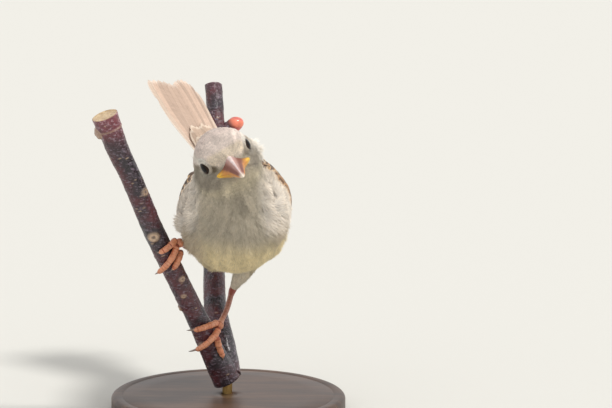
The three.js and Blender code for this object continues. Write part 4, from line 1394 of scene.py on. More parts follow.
# %% The wing's place on the flank
WING_ROUND = 18.0  # millimetres of wing to a radian round the trunk
WING_THICK = 2.1
wing_reach = profile((0, 15), (0.35, 17.5), (0.6, 12.9), (0.8, 9.3), (1, 7.2))
wing_thick = profile((0, 0.9), (0.15, 1), (0.6, 0.9), (1, 0.5))
SHRUG = {1: 2.2, -1: 0.0}  # how far the bend of each wing is raised from the breast


WING_STEPS, ROUND_STEPS = 60, 65  # steps along a wing and round it in the table of its ground


def wing_ground(side):
    """How far the wing's inner side is from the trunk's axis, as a table over v and the angle."""
    v = np.linspace(0, 1, WING_STEPS + 1)
    angle = np.linspace(-45, 85, ROUND_STEPS + 1)
    vv, aa = (g.ravel() for g in np.meshgrid(v, np.radians(angle), indexing="ij"))
    start = apply(TRUNK, np.stack([0 * vv, wing_y(side, vv), wing_axis(vv)], 1))
    way = np.stack([side * np.cos(aa), 0 * aa, np.sin(aa)], 1) @ TRUNK[:3, :3].T
    near, far = np.zeros(len(vv)), np.full(len(vv), 40.0)
    inside = body_field(start) < 0
    for _ in range(16):
        middle = (near + far) / 2
        low = body_field(start + way * middle[:, None]) < 0.6
        near, far = np.where(low, middle, near), np.where(low, far, middle)
    body = np.where(inside, near, 0).reshape(WING_STEPS + 1, ROUND_STEPS + 1)
    return angle, np.maximum(body, wing_reach(v)[:, None]), np.maximum(body - 0.7, 0)


WING_GROUND = {side: wing_ground(side) for side in (1, -1)}


def on_wing(side, across, y, share, extra=0.0):
    """Flat wing millimetres to a point: across the wing, back along it, and the share of its thickness."""
    v = np.clip(wing_v(side, y), 0, 1)
    angle = across / WING_ROUND
    table_angle, reach, body = WING_GROUND[side]
    i = np.clip(v * WING_STEPS, 0, WING_STEPS - 0.001)
    j = (np.degrees(angle) - table_angle[0]) / (table_angle[1] - table_angle[0])
    j = np.clip(j, 0, ROUND_STEPS - 0.001)
    i0, j0 = i.astype(int), j.astype(int)
    di, dj = i - i0, j - j0
    corners = (((i0, j0), (1 - di) * (1 - dj)), ((i0 + 1, j0), di * (1 - dj)),
               ((i0, j0 + 1), (1 - di) * dj), ((i0 + 1, j0 + 1), di * dj))
    inner = sum(reach[c] * w for c, w in corners)
    hug = sum(body[c] * w for c, w in corners)
    low, high = wing_limits(side, v)
    u = np.clip((np.degrees(angle) - low) / (high - low), 0.0, 1.0)
    loose = smooth(v, 0.0, 0.24) * smooth(u, 0, 0.24) * smooth(1 - u, 0, 0.2)
    loose = loose + (1 - loose) * smooth(v, 0.6, 0.78)
    inner = np.where(hug > 1, hug + (inner - hug) * loose, inner)
    thick = WING_THICK * wing_thick(v) * np.sqrt(1 - 0.85 * (2 * u - 1) ** 2) * (0.45 + 0.55 * loose)
    raised = hill(v, 0.02, 0.17, 0.3, 0.6) * hill(u, 0.1, 0.55, 0.86, 1.0)
    tucked = 1.2 * smooth(np.degrees(angle) - high, -5, 9) * (1 - smooth(v, 0.62, 0.75))
    out_from = inner + thick * share + extra + SHRUG[side] * raised - tucked
    upwards = wing_axis(v) + np.sin(angle) * out_from
    return apply(TRUNK, np.stack([side * np.cos(angle) * out_from, y, upwards], -1))


# %% [markdown]
# A wing or tail feather is a web on both sides of a shaft. It is drawn as a closed leaf, thickest at the
# shaft and a little cupped, so that its edges catch the light. Each vertex knows how far along and across
# its own feather it lies. The material paints centre, fringe, shaft and barbs from that.


# %% One vane
def leaf_faces(rows, columns):
    """Faces of a closed leaf: a grid for its upper side, the same for its under side, and its rim."""
    top = grid_faces(rows, columns)
    count = rows * columns
    rim = np.concatenate([
        np.arange(columns), np.arange(1, rows) * columns + columns - 1,
        (rows - 1) * columns + np.arange(columns - 2, -1, -1), np.arange(rows - 2, 0, -1) * columns])
    ahead = np.roll(rim, -1)
    wall = np.stack([ahead, rim, rim + count, ahead + count], 1)
    return np.concatenate([top, top[:, ::-1] + count, wall])


class Vanes:
    """Collects many vanes into one mesh."""

    def __init__(self):
        self.points, self.faces, self.start = [], [], 0
        self.values = {name: [] for name in ("along", "across", "fringe", "tip", "tint")}
        self.centre, self.rim, self.local, self.number = [], [], [], []

    def add(self, place, length, width, centre, rim, fringe=0.25, tip=0.1, tint=0.0, rows=16, columns=8,
            blunt=0.22, taper=0.55, outer=0.5, thick=0.10, gaps=0, seed=0, round_end=0.5):
        """place(x, s, h) gives the point x mm beside the shaft, a share s along it, h mm over the web."""
        rng = np.random.default_rng(seed + 7 * len(self.number))
        s = np.linspace(0, 1, rows)[:, None] ** 0.92
        side = np.linspace(-1, 1, columns + 1)[None, :]
        end = np.clip(1 - np.clip((s - (1 - blunt)) / blunt, 0, 1) ** 2, 0, 1) ** round_end
        body = taper + (1 - taper) * smooth(s, 0, 0.35) - 0.12 * smooth(s, 0.5, 1)
        half = width / 2 * body * np.maximum(end, 0.12 if round_end < 0.6 else 0.05)
        shift = np.where(side < 0, 2 * outer, 2 * (1 - outer))
        ragged = np.zeros((rows, columns + 1))
        for _ in range(gaps):
            where, which = rng.uniform(0.35, 0.95), rng.choice([0, columns])
            notch = np.exp(-(((s[:, 0] - where) / 0.035) ** 2)) * rng.uniform(0.15, 0.45)
            ragged[:, which] -= notch
            ragged[:, which + (1 if which == 0 else -1)] -= 0.4 * notch
        x = half * side * shift * (1 + ragged) + 0 * s
        cup = 0.18 * (1 - side**2) * min(width / 6, 1)
        web = thick * (0.15 + 0.85 * (1 - np.abs(side)) ** 0.6) * (1 - 0.6 * s)
        s_full = s + 0 * side
        upper = place(x, s_full, cup + web / 2)
        under = place(x, s_full, cup - web / 2)
        grid = np.concatenate([upper.reshape(-1, 3), under.reshape(-1, 3)])
        self.faces.append(leaf_faces(rows, columns + 1) + self.start)
        self.points.append(grid)
        self.start += len(grid)
        both = lambda value: np.tile((value + 0 * s_full).ravel(), 2)
        for name, value in zip(self.values, (s_full, side, fringe, tip, tint)):
            self.values[name].append(both(value))
        count = 2 * s_full.size
        self.centre.append(np.tile(srgb(*centre), (count, 1)))
        self.rim.append(np.tile(srgb(*rim), (count, 1)))
        own_number = float(len(self.number) * 37 % 101)
        self.local.append(np.stack([both(x), both(s_full * length), both(own_number)], 1))
        self.number.append(count)

    def piece(self, name, material):
        made = mesh_piece(name, np.concatenate(self.points), np.concatenate(self.faces), material)
        mesh = face_outwards(made).data
        for label, values in self.values.items():
            store(mesh, label, np.concatenate(values))
        store(mesh, "pigment", np.concatenate(self.centre), "FLOAT_COLOR")
        store(mesh, "rim", np.concatenate(self.rim), "FLOAT_COLOR")
        store(mesh, "local", np.concatenate(self.local), "FLOAT_VECTOR")
        self.lay_out(mesh)
        mesh.calc_loop_triangles()
        print(f"{name}: {len(self.number)} vanes, {len(mesh.loop_triangles)} triangles")
        return made

    def lay_out(self, mesh):
        """Each vane gets a cell of its own on the map, the upper side beside the under side."""
        cells = math.ceil(math.sqrt(len(self.number)))
        places = []
        for n, count in enumerate(self.number):
            along = self.values["along"][n]
            across = self.values["across"][n]
            under = np.repeat([0, 1], count // 2)
            x = (n % cells + 0.04 + 0.46 * under + 0.42 * (across + 1) / 2) / cells
            y = (n // cells + 0.04 + 0.92 * along) / cells
            places.append(np.stack([x, y], 1))
        places = np.concatenate(places)
        corner = np.empty(len(mesh.loops), np.int32)
        mesh.loops.foreach_get("vertex_index", corner)
        mesh.uv_layers.new(name="OFBake").data.foreach_set("uv", places[corner].astype(np.float32).ravel())


# %% Shader group: vane pattern
def soft_step(tree, value, low, high):
    """0 below low, 1 above high."""
    step = node(tree, "ShaderNodeMapRange", interpolation_type="SMOOTHSTEP", Value=value, From_Min=low,
                From_Max=high)
    return step.outputs["Result"]


def vane_pattern():
    colour, number = "NodeSocketColor", "NodeSocketFloat"
    sockets = [
        ("Centre", colour, (0.1, 0.1, 0.1, 1)), ("Rim", colour, (0.5, 0.5, 0.5, 1)), ("Along", number, 0.5),
        ("Across", number, 0.0), ("Fringe", number, 0.2), ("Tip", number, 0.1), ("Tint", number, 0.0),
        ("Local", "NodeSocketVector", (0, 0, 0)), ("Shaft", colour, (0.3, 0.25, 0.2, 1)),
        ("Barb depth", number, 0.12), ("Waver", number, 0.34),
    ]
    group, given, result = shader_group("vane_pattern", sockets, [("Color", colour), ("Height", number)])
    take = given.outputs
    x, y, z = node(group, "ShaderNodeSeparateXYZ", Vector=take["Local"]).outputs
    slant = calculate(group, "MULTIPLY_ADD", calculate(group, "ABSOLUTE", x), -0.9, y)
    barb_place = node(group, "ShaderNodeCombineXYZ", X=slant, Y=z, Z=calculate(group, "MULTIPLY", x, 0.25))
    barbs = noise(group, 3.6, 3.0, barb_place.outputs[0], Roughness=0.65)
    wide = noise(group, 0.55, 2.0, barb_place.outputs[0])
    from_shaft = calculate(group, "ABSOLUTE", take["Across"])
    waver = calculate(group, "MULTIPLY", calculate(group, "SUBTRACT", barbs, 0.5), take["Waver"])
    edge = calculate(group, "ADD", calculate(group, "ADD", from_shaft, take["Fringe"]), waver)
    tip_edge = calculate(group, "ADD", take["Along"], take["Tip"])
    tip_edge = calculate(group, "ADD", tip_edge, calculate(group, "MULTIPLY", waver, 0.35))
    fringe, tip = soft_step(group, edge, 0.93, 1.14), soft_step(group, tip_edge, 0.96, 1.05)
    painted = mixed(group, calculate(group, "MAXIMUM", fringe, tip), take["Centre"], take["Rim"])
    shaft = node(group, "ShaderNodeMapRange", Value=from_shaft, From_Min=0.035, From_Max=0.0)
    on_shaft = shaft.outputs["Result"]
    shafted = mixed(group, calculate(group, "MULTIPLY", on_shaft, 0.8), painted, take["Shaft"])
    value = calculate(group, "ADD", calculate(group, "MULTIPLY", take["Tint"], 0.16), 1.0)
    value = calculate(group, "MULTIPLY", value, calculate(group, "MULTIPLY_ADD", barbs, 0.5, 0.75))
    value = calculate(group, "MULTIPLY", value, calculate(group, "MULTIPLY_ADD", wide, 0.3, 0.85))
    tone = node(group, "ShaderNodeHueSaturation", Hue=0.5, Saturation=1.0, Fac=1.0, Value=value,
                Color=shafted)
    ridges = calculate(group, "MULTIPLY", barbs, take["Barb depth"])
    height = calculate(group, "ADD", ridges, calculate(group, "MULTIPLY", on_shaft, 0.5))
    feed(group, tone.outputs["Color"], result.inputs["Color"])
    feed(group, height, result.inputs["Height"])
    return group


VANE_PATTERN = vane_pattern()


def vane_material(name, shaft, roughness, barb_depth, waver):
    made, tree, shader = new_material(name, Roughness=roughness, Sheen_Weight=0.08, Sheen_Roughness=0.4,
                                      Specular_IOR_Level=0.3)
    labels = ("along", "across", "fringe", "tip", "tint")
    own = {label.capitalize(): attribute(tree, label) for label in labels}
    pattern = node(
        tree, "ShaderNodeGroup", node_tree=VANE_PATTERN, Centre=attribute(tree, "pigment", "Color"),
        Rim=attribute(tree, "rim", "Color"), Local=attribute(tree, "local", "Vector"), Shaft=rgba(*shaft),
        Barb_depth=barb_depth, Waver=waver, **own)
    bumped(tree, shader, pattern.outputs["Height"], 0.5, 0.00012)
    feed(tree, pattern.outputs["Color"], shader.inputs["Base Color"])
    return made


WING_VANE = vane_material("wing_vane", (58, 42, 30), 0.62, 0.5, 0.34)
TAIL_VANE = vane_material("tail_vane", (150, 122, 96), 0.62, 0.35, 0.10)

# %% The feathers of one wing
WING_COLOURS = {  # the middle and the fringe of each kind
    "primary": ((82, 66, 54), (186, 146, 102)), "secondary": ((78, 60, 46), (190, 134, 80)),
    "tertial": ((66, 50, 38), (204, 152, 100)), "greater": ((72, 54, 40), (200, 150, 98)),
    "median": ((60, 44, 34), (208, 184, 150)), "lesser": ((104, 76, 54), (176, 136, 96)),
    "scapular": ((84, 62, 44), (196, 160, 116)), "alula": ((64, 50, 40), (176, 150, 116)),
}
PATTERN_START, PATTERN_LENGTH = -17, 67  # millimetres along the wing in the flat pattern


def wing_rows():
    """Each feather: kind, root, tip, width, level, fringe, tip band, bow. Lowest layers first."""
    rows = []
    for q in np.arange(9) / 8:  # primaries, from the lowest and longest up
        tip = (3.2 + 3.4 * q, 49.6 - 19.5 * q**1.15)
        root = (-5.5 + 4.5 * q, -3 + 5 * q)
        rows.append(("primary", root, tip, 4.2, 0.16 + 0.1 * q, 0.16, 0.03, -4.6 + 3.2 * q))
    for q in np.arange(6) / 5:
        root, tip = (-1 + 6 * q, 0), (4.6 + 3.6 * q, 30.5 - 1.5 * q)
        rows.append(("secondary", root, tip, 5.2, 0.34 + 0.1 * q, 0.3, 0.05, -1.6 + 1.5 * q))
    for q in np.arange(6) / 5:
        root, tip = (-8 + 4 * q, -6 + 2 * q), (-6.5 + 4.5 * q, 12.5 + 1.5 * q)
        rows.append(("alula", root, tip, 3.6, 0.46, 0.18, 0.08, -1.2))
    tertials = (((7.4, 34.5), 7.4), ((10.4, 29.5), 8.2), ((13.2, 23.5), 7.6))
    for n, (tip, width) in enumerate(tertials):  # the lowest is the longest
        rows.append(("tertial", (6.5 + 3 * n, 1), tip, width, 0.56 + 0.08 * n, 0.26, 0.07, 0.9))
    for q in np.arange(10) / 9:
        tip = (-7.2 + 24.6 * q, 11.2 + 3.5 * math.sin(math.pi * q) + 1.0 * q)
        rows.append(("greater", (-6.5 + 21 * q, -4.5), tip, 5.0, 0.72, 0.34, 0.10, 0.4))
    for q in np.arange(10) / 9:
        tip = (-7.0 + 25 * q, 2.6 + 1.6 * math.sin(math.pi * q))
        rows.append(("median", (-6.6 + 22.5 * q, -8.2), tip, 4.6, 0.84, 0.12, 0.24, 0.2))
    for row in range(4):
        y = -4.2 - 2.6 * row
        count = 9 - row // 2
        reach = 1 - 0.13 * row
        for n in range(count):
            q = (n + 0.5 * (row % 2)) / (count - 0.5)
            root, tip = (5 + (-11.5 + 25 * q) * reach, y - 3.6), (5 + (-11.8 + 25.6 * q) * reach, y + 1.9)
            rows.append(("lesser", root, tip, 4.1, 0.92, 0.42, 0.30, 0.1))
    for row in range(3):  # scapulars, over the wing's upper edge
        for n in range(7):
            y = -11 + 4.2 * n + 1.4 * row
            top = math.radians(float(wing_top((y - PATTERN_START) / PATTERN_LENGTH))) * WING_ROUND
            root, tip = (top + 3.2 - 2.4 * row, y - 4), (top - 0.2 - 2.6 * row, y + 4.8)
            rows.append(("scapular", root, tip, 4.8, 1.0 + 0.06 * (2 - row), 0.3, 0.14, 0.2))
    return rows


def make_wing(side, label):
    rng = np.random.default_rng(5 + side)
    vanes = Vanes()
    squeeze = 1.0 if side > 0 else 0.72  # the right wing hangs less far down

    def on_pattern(point, jitter):
        across, y = point
        at = np.array([across * squeeze if across < 0 else across, y]) + rng.normal(0, jitter, 2)
        at[1] = wing_y(side, (at[1] - PATTERN_START) / PATTERN_LENGTH)
        return at

    for kind, root, tip, width, level, fringe, band, bow in wing_rows():
        primary, remex = kind == "primary", kind in ("secondary", "tertial")
        jitter = 0.12 if primary or remex else 0.55 if kind == "lesser" else 0.4
        band = band * rng.uniform(0.7, 1.2)
        start, stop = on_pattern(root, jitter), on_pattern(tip, jitter)
        length = float(np.linalg.norm(stop - start))
        tilt = 0.16 if kind != "lesser" else 0.10

        def place(x, s, h, start=start, stop=stop, bow=bow, level=level, tilt=tilt, width=width):
            spine = start + (stop - start) * s[..., None]
            way = (stop - start) / np.linalg.norm(stop - start)
            across = spine[..., 0] + bow * squeeze * np.sin(math.pi * s**0.9) + x * way[1]
            y = spine[..., 1] - x * way[0]
            low, high = wing_limits(side, np.clip(wing_v(side, y), 0, 1))
            high = high + (14 if level > 0.98 else 2.5)
            across = np.clip(across, np.radians(low - 1.0) * WING_ROUND, np.radians(high) * WING_ROUND)
            return on_wing(side, across, y, level, h - tilt * x / (width / 2) + 0.22 * (s - 0.6))

        vanes.add(
            place, length, width, *WING_COLOURS[kind], fringe, band, rng.uniform(-1, 1),
            rows=20 if length > 18 else 11, columns=8 if length > 9 else 6,
            blunt=0.26 if primary else 0.3 if remex else 0.5, round_end=0.7 if primary else 0.5,
            outer=0.36 if primary else 0.5, gaps=2 if remex else 1, seed=100 * (2 + side))
    return vanes.piece("wing_feathers_" + label, WING_VANE)


def wing_bed(side, label):
    """The thin plate of quills and down that the feathers lie on."""
    rows, columns = 60, 24
    v = np.linspace(0, 1, rows)[:, None] + np.zeros((1, columns))
    u = np.linspace(0, 1, columns)[None, :] + np.zeros((rows, 1))
    low, high = wing_limits(side, v)
    top = 0.92 - 0.42 * smooth(v, 0.35, 0.9)
    across = np.radians(low + (high - low) * (0.06 + (top - 0.06) * u)) * WING_ROUND
    y = wing_y(side, 0.02 + 0.80 * v)
    grid = np.concatenate([on_wing(side, across, y, share).reshape(-1, 3) for share in (0.10, -0.02)])
    made = face_outwards(mesh_piece("wing_bed_" + label, grid, leaf_faces(rows, columns), skin_paint))
    store(made.data, "pigment", srgb(104, 84, 66) * np.ones((len(grid), 3)), "FLOAT_COLOR")
    return made


wings = {}
for side, label in ((1, "left"), (-1, "right")):
    wings[label] = [make_wing(side, label), wing_bed(side, label)]

# %% [markdown]
# Loose feathers from the breast's side fall over the bend of the wing and hide its first row of coverts.
# They are laid by the same tree as the coat, on a strip bent round the wing's front that is thrown away
# afterwards.


# %% Loose feathers over the bend of the wing
STRIP_END = {1: 0.10, -1: 0.17}  # the share of each wing's length that they cover
STRIP_LOW = {1: 0.02, -1: 0.20}  # and how high on its front they begin


def shoulder_strip(side, label):
    rows, columns = 26, 60
    v = np.linspace(-0.05, STRIP_END[side], rows)[:, None] + np.zeros((1, columns))
    u = np.linspace(STRIP_LOW[side], 0.95, columns)[None, :] + np.zeros((rows, 1))
    low, high = wing_limits(side, v)
    across = np.radians(low + (high - low) * u) * WING_ROUND
    grid = on_wing(side, across, wing_y(side, v), 0.9, -2.8 * (1 - smooth(v, -0.05, -0.005)))
    faces = grid_faces(rows, columns)
    strip = mesh_piece("shoulder_strip", grid.reshape(-1, 3), faces if side < 0 else faces[:, ::-1])
    store(strip.data, "lie", unit(np.gradient(grid, axis=0).reshape(-1, 3)), "FLOAT_VECTOR")
    wobble = ripple(grid.reshape(-1, 3), 3, 12 + side)
    shades = np.tile(srgb(*COAT_COLOURS["shoulder"]), (rows * columns, 1))
    share = v.ravel() / STRIP_END[side]
    shades = cover(shades, smooth(share + 0.3 * wobble, 0.6, 1.2) * 0.7, "buff")
    shades = cover(shades, smooth(wobble, 0.2, 0.6) * smooth(share, 0.3, 0.8) * 0.5, "ear")
    store(strip.data, "pigment", shades, "FLOAT_COLOR")
    store(strip.data, "length", 5.2 - 1.8 * np.clip(share, 0, 1))
    store(strip.data, "stand", np.ones(rows * columns))
    grows = (share + 0.35 * wobble)[faces].mean(1) < 0.85
    strip.data.attributes.new("zone", "INT", "FACE").data.foreach_set("value", grows.astype(np.int32))
    unwrap(strip)
    made = grown(
        strip, "coat_shoulder_" + label, COAT_TREE, tips=loose_tips, zone=1, spacing=0.38 * MM, length=1.0,
        width=1.0, lift=math.radians(13), ruffle=0.35, seed=150 + side, finish=SOFT_PLUMAGE)
    bpy.data.objects.remove(strip)
    return made


for side, label in ((1, "left"), (-1, "right")):
    coat.append(shoulder_strip(side, label))

# %% [markdown]
# ## Tail
# Twelve feathers make the tail. Closed, they lie like a fan put away: the middle pair on top and each next
# one a little under its neighbour. The end is shallowly notched, and on this bird one outer
# feather has slipped short. The roof shape and the outline are the solid tail's.

# %% Tail feathers
TAIL_LENGTH = 52.5
tail_short = profile((-1, 1.2), (-0.9, 0.4), (-0.6, 1.2), (-0.11, 3.9), (0.2, 1.0), (0.47, 0), (0.82, 1.9),
                     (0.94, 5.5), (1, 9))
tail_width = profile((0, 15.5), (0.4, 19.4), (1, 22.4))
TAIL_COLOURS = {"web": (198, 172, 154), "rim": (244, 230, 216), "outer": (216, 194, 176)}

tail_vanes = Vanes()
tail_random = np.random.default_rng(12)
for n in range(12):
    across = (n + 0.5) / 6 - 1
    from_middle = abs(across)
    length = TAIL_LENGTH - float(tail_short(across)) - 0.2
    width = 5.4 - 1.2 * from_middle
    rank = round(abs(n - 5.5) - 0.5)

    def place(x, s, h, across=across, length=length, rank=rank, n=n):
        v = s * length / TAIL_LENGTH
        half = tail_width(v) / 2
        spread = across * (0.55 + 0.45 * smooth(s, 0, 0.7)) * half * 0.94
        sideways = np.clip(spread + x, -half, half)
        share = sideways / half
        roof = -1.6 * share * share * (0.4 + 0.6 * v)
        stack = 0.42 - 0.13 * rank - 0.05 * (n > 5) + 0.05 * np.sign(across) * x / 2.5
        return apply(TAIL, np.stack([sideways, s * length, roof + stack * (1 - 0.3 * v) + h - 0.1], -1))

    rim_wide = 0.26 if from_middle > 0.8 else 0.17
    web = TAIL_COLOURS["outer" if from_middle > 0.85 else "web"]
    tail_vanes.add(place, length, width, web, TAIL_COLOURS["rim"], rim_wide, 0.02, tail_random.uniform(-1, 1),
                   rows=34, columns=8, blunt=0.13, taper=0.45, outer=0.42 if across < 0 else 0.58, thick=0.2,
                   gaps=2, seed=40)

# %% [markdown]
# Coverts hide the place where the tail leaves the rump: two rows above it and two longer, paler rows
# below. Their roots are under the rump's own feathers and their tips lie along the tail, so that the
# round rump runs out into the flat tail without a step.

# %% Tail coverts
COVERT_ROOF = profile((2, 3.3), (8, 2.9), (12, 2.9), (16, 2.7), (20, 2.0), (25, 1.25), (30, 1.0))
COVERT_FLOOR = profile((2, 7.4), (8, 5.3), (12, 5.0), (16, 4.5), (21, 3.3), (27, 1.9), (33, 1.3))
COVERT_HALF = profile((2, 6.4), (8, 5.8), (14, 5.6), (20, 6.6), (30, 8.2))
COVERT_DROP = profile((2, 3.2), (12, 2.8), (22, 1.5), (30, 1.0))
COVERT_COLOURS = {1: ((188, 164, 145), (226, 207, 188)), -1: ((214, 200, 174), (238, 228, 206))}
COVERT_ROWS = [
    # above 1 or below -1, root and tip in millimetres along the tail, how many, and how far they stand up
    (-1, 6, 31, 7, 0.1), (-1, 1, 23, 6, 0.5), (1, 8, 26, 8, 0.1), (1, 3, 20, 7, 0.5),
]
covert_random = np.random.default_rng(31)
for above, root, tip, count, raised in COVERT_ROWS:
    for n in range(count):
        across = 1.7 * (n + 0.5) / count - 0.85
        tip_here = tip - 2.5 * abs(across) + covert_random.normal(0, 1.0)

        def place(x, s, h, across=across, above=above, root=root, tip_here=tip_here, raised=raised):
            y = root + (tip_here - root) * s
            half = COVERT_HALF(y)
            sideways = across * half + x
            crest = COVERT_ROOF(y) if above > 0 else COVERT_FLOOR(y)
            drop = COVERT_DROP(y) * (1 if above > 0 else 1.5) * np.clip((sideways / half) ** 2, 0, 1.1)
            height = crest - drop + raised * (1 - 0.5 * s) + h + 0.12 * (1 - abs(across))
            return apply(TAIL, np.stack([above * sideways, y, above * height], -1))

        tail_vanes.add(place, tip_here - root, 4.6, *COVERT_COLOURS[above], 0.34, 0.10,
                       covert_random.uniform(-1, 1), rows=14, blunt=0.5, taper=0.6, gaps=2, seed=60)
tail = tail_vanes.piece("tail_feathers", TAIL_VANE)

# %% [markdown]
# ## The twig
# The perch is a forked twig, as thick as a pencil, with its top ends cut. Its young bark is nearly black
# and glossy, wrinkled where it has dried, with small pale pores and scars where leaves
# and buds have dropped. Stem and branch are tubes along the solid model's curves, fine enough that
# wrinkles, pores and scars are real relief, which also shows at the outline.


# %% Curves through points
class Route:
    """A smooth curve through points, spaced by its own length, as in the solid model."""

    def __init__(self, points, samples=900):
        points = np.array(points, float)
        ends = np.concatenate([[2 * points[0] - points[1]], points, [2 * points[-1] - points[-2]]])
        places = np.linspace(0, len(points) - 1, samples)
        first = np.minimum(places.astype(int), len(points) - 2)
        t = (places - first)[:, None]
        p0, p1, p2, p3 = (ends[first + i] for i in range(4))
        d0, d1, d2 = (np.maximum(((b - a) ** 2).sum(1, keepdims=True) ** 0.25, 1e-4)
                      for a, b in ((p0, p1), (p1, p2), (p2, p3)))
        m1 = ((p1 - p0) / d0 - (p2 - p0) / (d0 + d1) + (p2 - p1) / d1) * d1
        m2 = ((p2 - p1) / d1 - (p3 - p1) / (d1 + d2) + (p3 - p2) / d2) * d1
        line = p1 + m1 * t + (-3 * p1 + 3 * p2 - 2 * m1 - m2) * t**2 + (2 * p1 - 2 * p2 + m1 + m2) * t**3
        self.line = line
        self.run = np.concatenate([[0], np.cumsum(np.linalg.norm(np.diff(line, axis=0), axis=1))])
        self.length = self.run[-1]

    def at(self, share):
        where = np.asarray(share, float) * self.length
        return np.stack([np.interp(where, self.run, self.line[:, i]) for i in range(3)], -1)

    def along(self, share, step=0.004):
        share = np.asarray(share, float)
        return unit(self.at(np.clip(share + step, 0, 1)) - self.at(np.clip(share - step, 0, 1)))


STEM = Route([(-0.6, 3, 10.6), (-5.2, 0.5, 20.6), (-9.6, -2.4, 31.4), (-15.2, -5.4, 43.6),
              (-20.8, -8.6, 56.0), (-27.0, -11.8, 70.0), (-34.0, -15.0, 88.0), (-38.6, -16.8, 98.5),
              (-43.4, -19.0, 111.8)])
BRANCH = Route([(0.3, 3.6, 12.0), (-1.6, 10, 21.0), (-4.8, 20.5, 33.0), (-5.4, 31, 45.2), (-5.4, 50, 66.6),
                (-4.8, 67, 87.6), (-6.0, 78, 103.5)])
SPUR = Route([(-5.2, 68.5, 87.4), (-1, 69.6, 89.2), (2.0, 70.1, 90.6)])
stem_radius = profile((0, 5.2), (0.12, 4.4), (0.26, 3.95), (0.8, 3.85), (0.92, 4.3), (1, 4.9))
branch_radius = profile((0, 4.4), (0.2, 4.2), (0.5, 3.9), (0.9, 3.2), (1, 3.3))
FRONT = np.array([0.0, -1.0, 0.0])


def round_frame(route, share):
    """Two directions square to a route: towards +X, and towards the front."""
    axis = route.along(share)
    front = unit(FRONT - axis * (axis @ FRONT)[..., None])
    return -np.cross(front, axis), front


def beside(route, share, degrees, reach):
    """A point beside a route. 0 degrees is its +X side and 90 its front."""
    side, front = round_frame(route, share)
    angle = np.radians(degrees)[..., None]
    reach = np.asarray(reach, float)[..., None]
    return route.at(share) + side * np.cos(angle) * reach + front * np.sin(angle) * reach


# %% Relief of the bark
def bark_noise(around, along, seed, stretch=(1.0, 1.0), waves=26):
    """Uneven relief over a tube, whole round its girth. around is an angle, along is in millimetres."""
    rng = np.random.default_rng(seed)
    total = np.zeros(np.broadcast(around, along).shape)
    for _ in range(waves):
        turns = rng.integers(0, max(2, int(9 * stretch[0]))) * rng.choice([-1, 1])
        pace = rng.normal() * 1.6 * stretch[1]
        total += np.sin(turns * around + pace * along + rng.uniform(0, 6.28)) / (1 + 0.12 * abs(turns))
    return total / math.sqrt(waves)


def turned_from(angle, middle):
    """How far angles are from a middle one, the short way round."""
    return (angle - middle + math.pi) % (2 * math.pi) - math.pi


def bark_tube(route, radius, seed, scars, rows, columns, cut_top=True, wrinkle=1.0):
    """A tube with bark relief. Scars are (share, degrees, half height, half width, rise, paleness)."""
    rng = np.random.default_rng(seed)
    share = np.linspace(0, 1, rows)[:, None]
    angle = np.linspace(0, 2 * math.pi, columns, endpoint=False)[None, :]
    along = share * route.length
    relief = 0.10 * wrinkle * bark_noise(angle, along, seed, (1.3, 0.5))
    fine = bark_noise(angle, along, seed + 1, (2.6, 1.7))
    relief = relief - 0.10 * wrinkle * np.clip(fine - 0.25, 0, 2)
    cross = np.abs(np.sin(along * 1.7 + 1.4 * bark_noise(angle, along, seed + 2, (0.7, 0.25)))) ** 0.5
    relief = relief - 0.055 * wrinkle * (1 - cross)
    pale = np.zeros((rows, columns))
    reach = radius(share)
    for _ in range(int(route.length * 0.6)):  # pores
        where, turned = rng.uniform(0.02, 0.98), rng.uniform(0, 2 * math.pi)
        tall, wide = rng.uniform(0.18, 0.34), rng.uniform(0.4, 0.9)
        apart = turned_from(angle, turned) * reach / wide
        spot = np.exp(-(((along - where * route.length) / tall) ** 2) - apart**2)
        relief = relief + 0.16 * spot
        pale = np.maximum(pale, rng.uniform(0.25, 0.7) * smooth(spot, 0.35, 0.8))
    for where, degrees, tall, wide, rise, white in scars:
        apart = turned_from(angle, math.radians(degrees)) * reach / wide
        far = np.sqrt(((along - where * route.length) / tall) ** 2 + apart**2)
        edge = np.exp(-(((far - 1) / 0.28) ** 2))
        inside = 1 - smooth(far, 0.75, 1.0)
        relief = relief * (1 - inside) + rise * (0.9 * edge + 0.45 * inside)
        hollow = 0.25 + 0.75 * smooth(far, 0.2, 0.6)
        pale = np.maximum(pale, white * np.maximum(inside * hollow, 0.6 * edge))
    degrees = np.degrees(np.broadcast_to(angle, (rows, columns)))
    points = beside(route, np.repeat(share, columns, 1), degrees, reach + relief)
    rings = [points]
    if cut_top:
        axis = route.along(np.array([1.0]))[0]
        middle = route.at(np.array([1.0]))[0]
        for scale, rise in ((0.94, 0.12), (0.90, 0.02), (0.55, -0.05), (0.2, -0.05)):
            rings.append((middle + (points[-1] - middle) * scale + axis * rise)[None])
    grid, faces = closed_tube(np.concatenate(rings))
    cut_rows = ((0, len(rings) - 1), (0, 0))
    values = {"pale": np.pad(pale, cut_rows), "relief": np.pad(relief, cut_rows),
              "cut": np.pad(np.zeros((rows, columns)), cut_rows, constant_values=1)}
    return grid, faces, values


# %% Material: young bark
bark_paint, bark_tree, bark_shader = new_material(
    "young_bark", Roughness=0.4, Coat_Weight=0.3, Coat_Roughness=0.2, Specular_IOR_Level=0.55)
bark_where = node(bark_tree, "ShaderNodeTexCoord").outputs["Object"]


def squeezed(tree, where, scale, **more):
    """A place scaled apart in X, Y and Z, so that a texture in it comes out long or flat."""
    return node(tree, "ShaderNodeMapping", Vector=where, Scale=scale, **more).outputs[0]


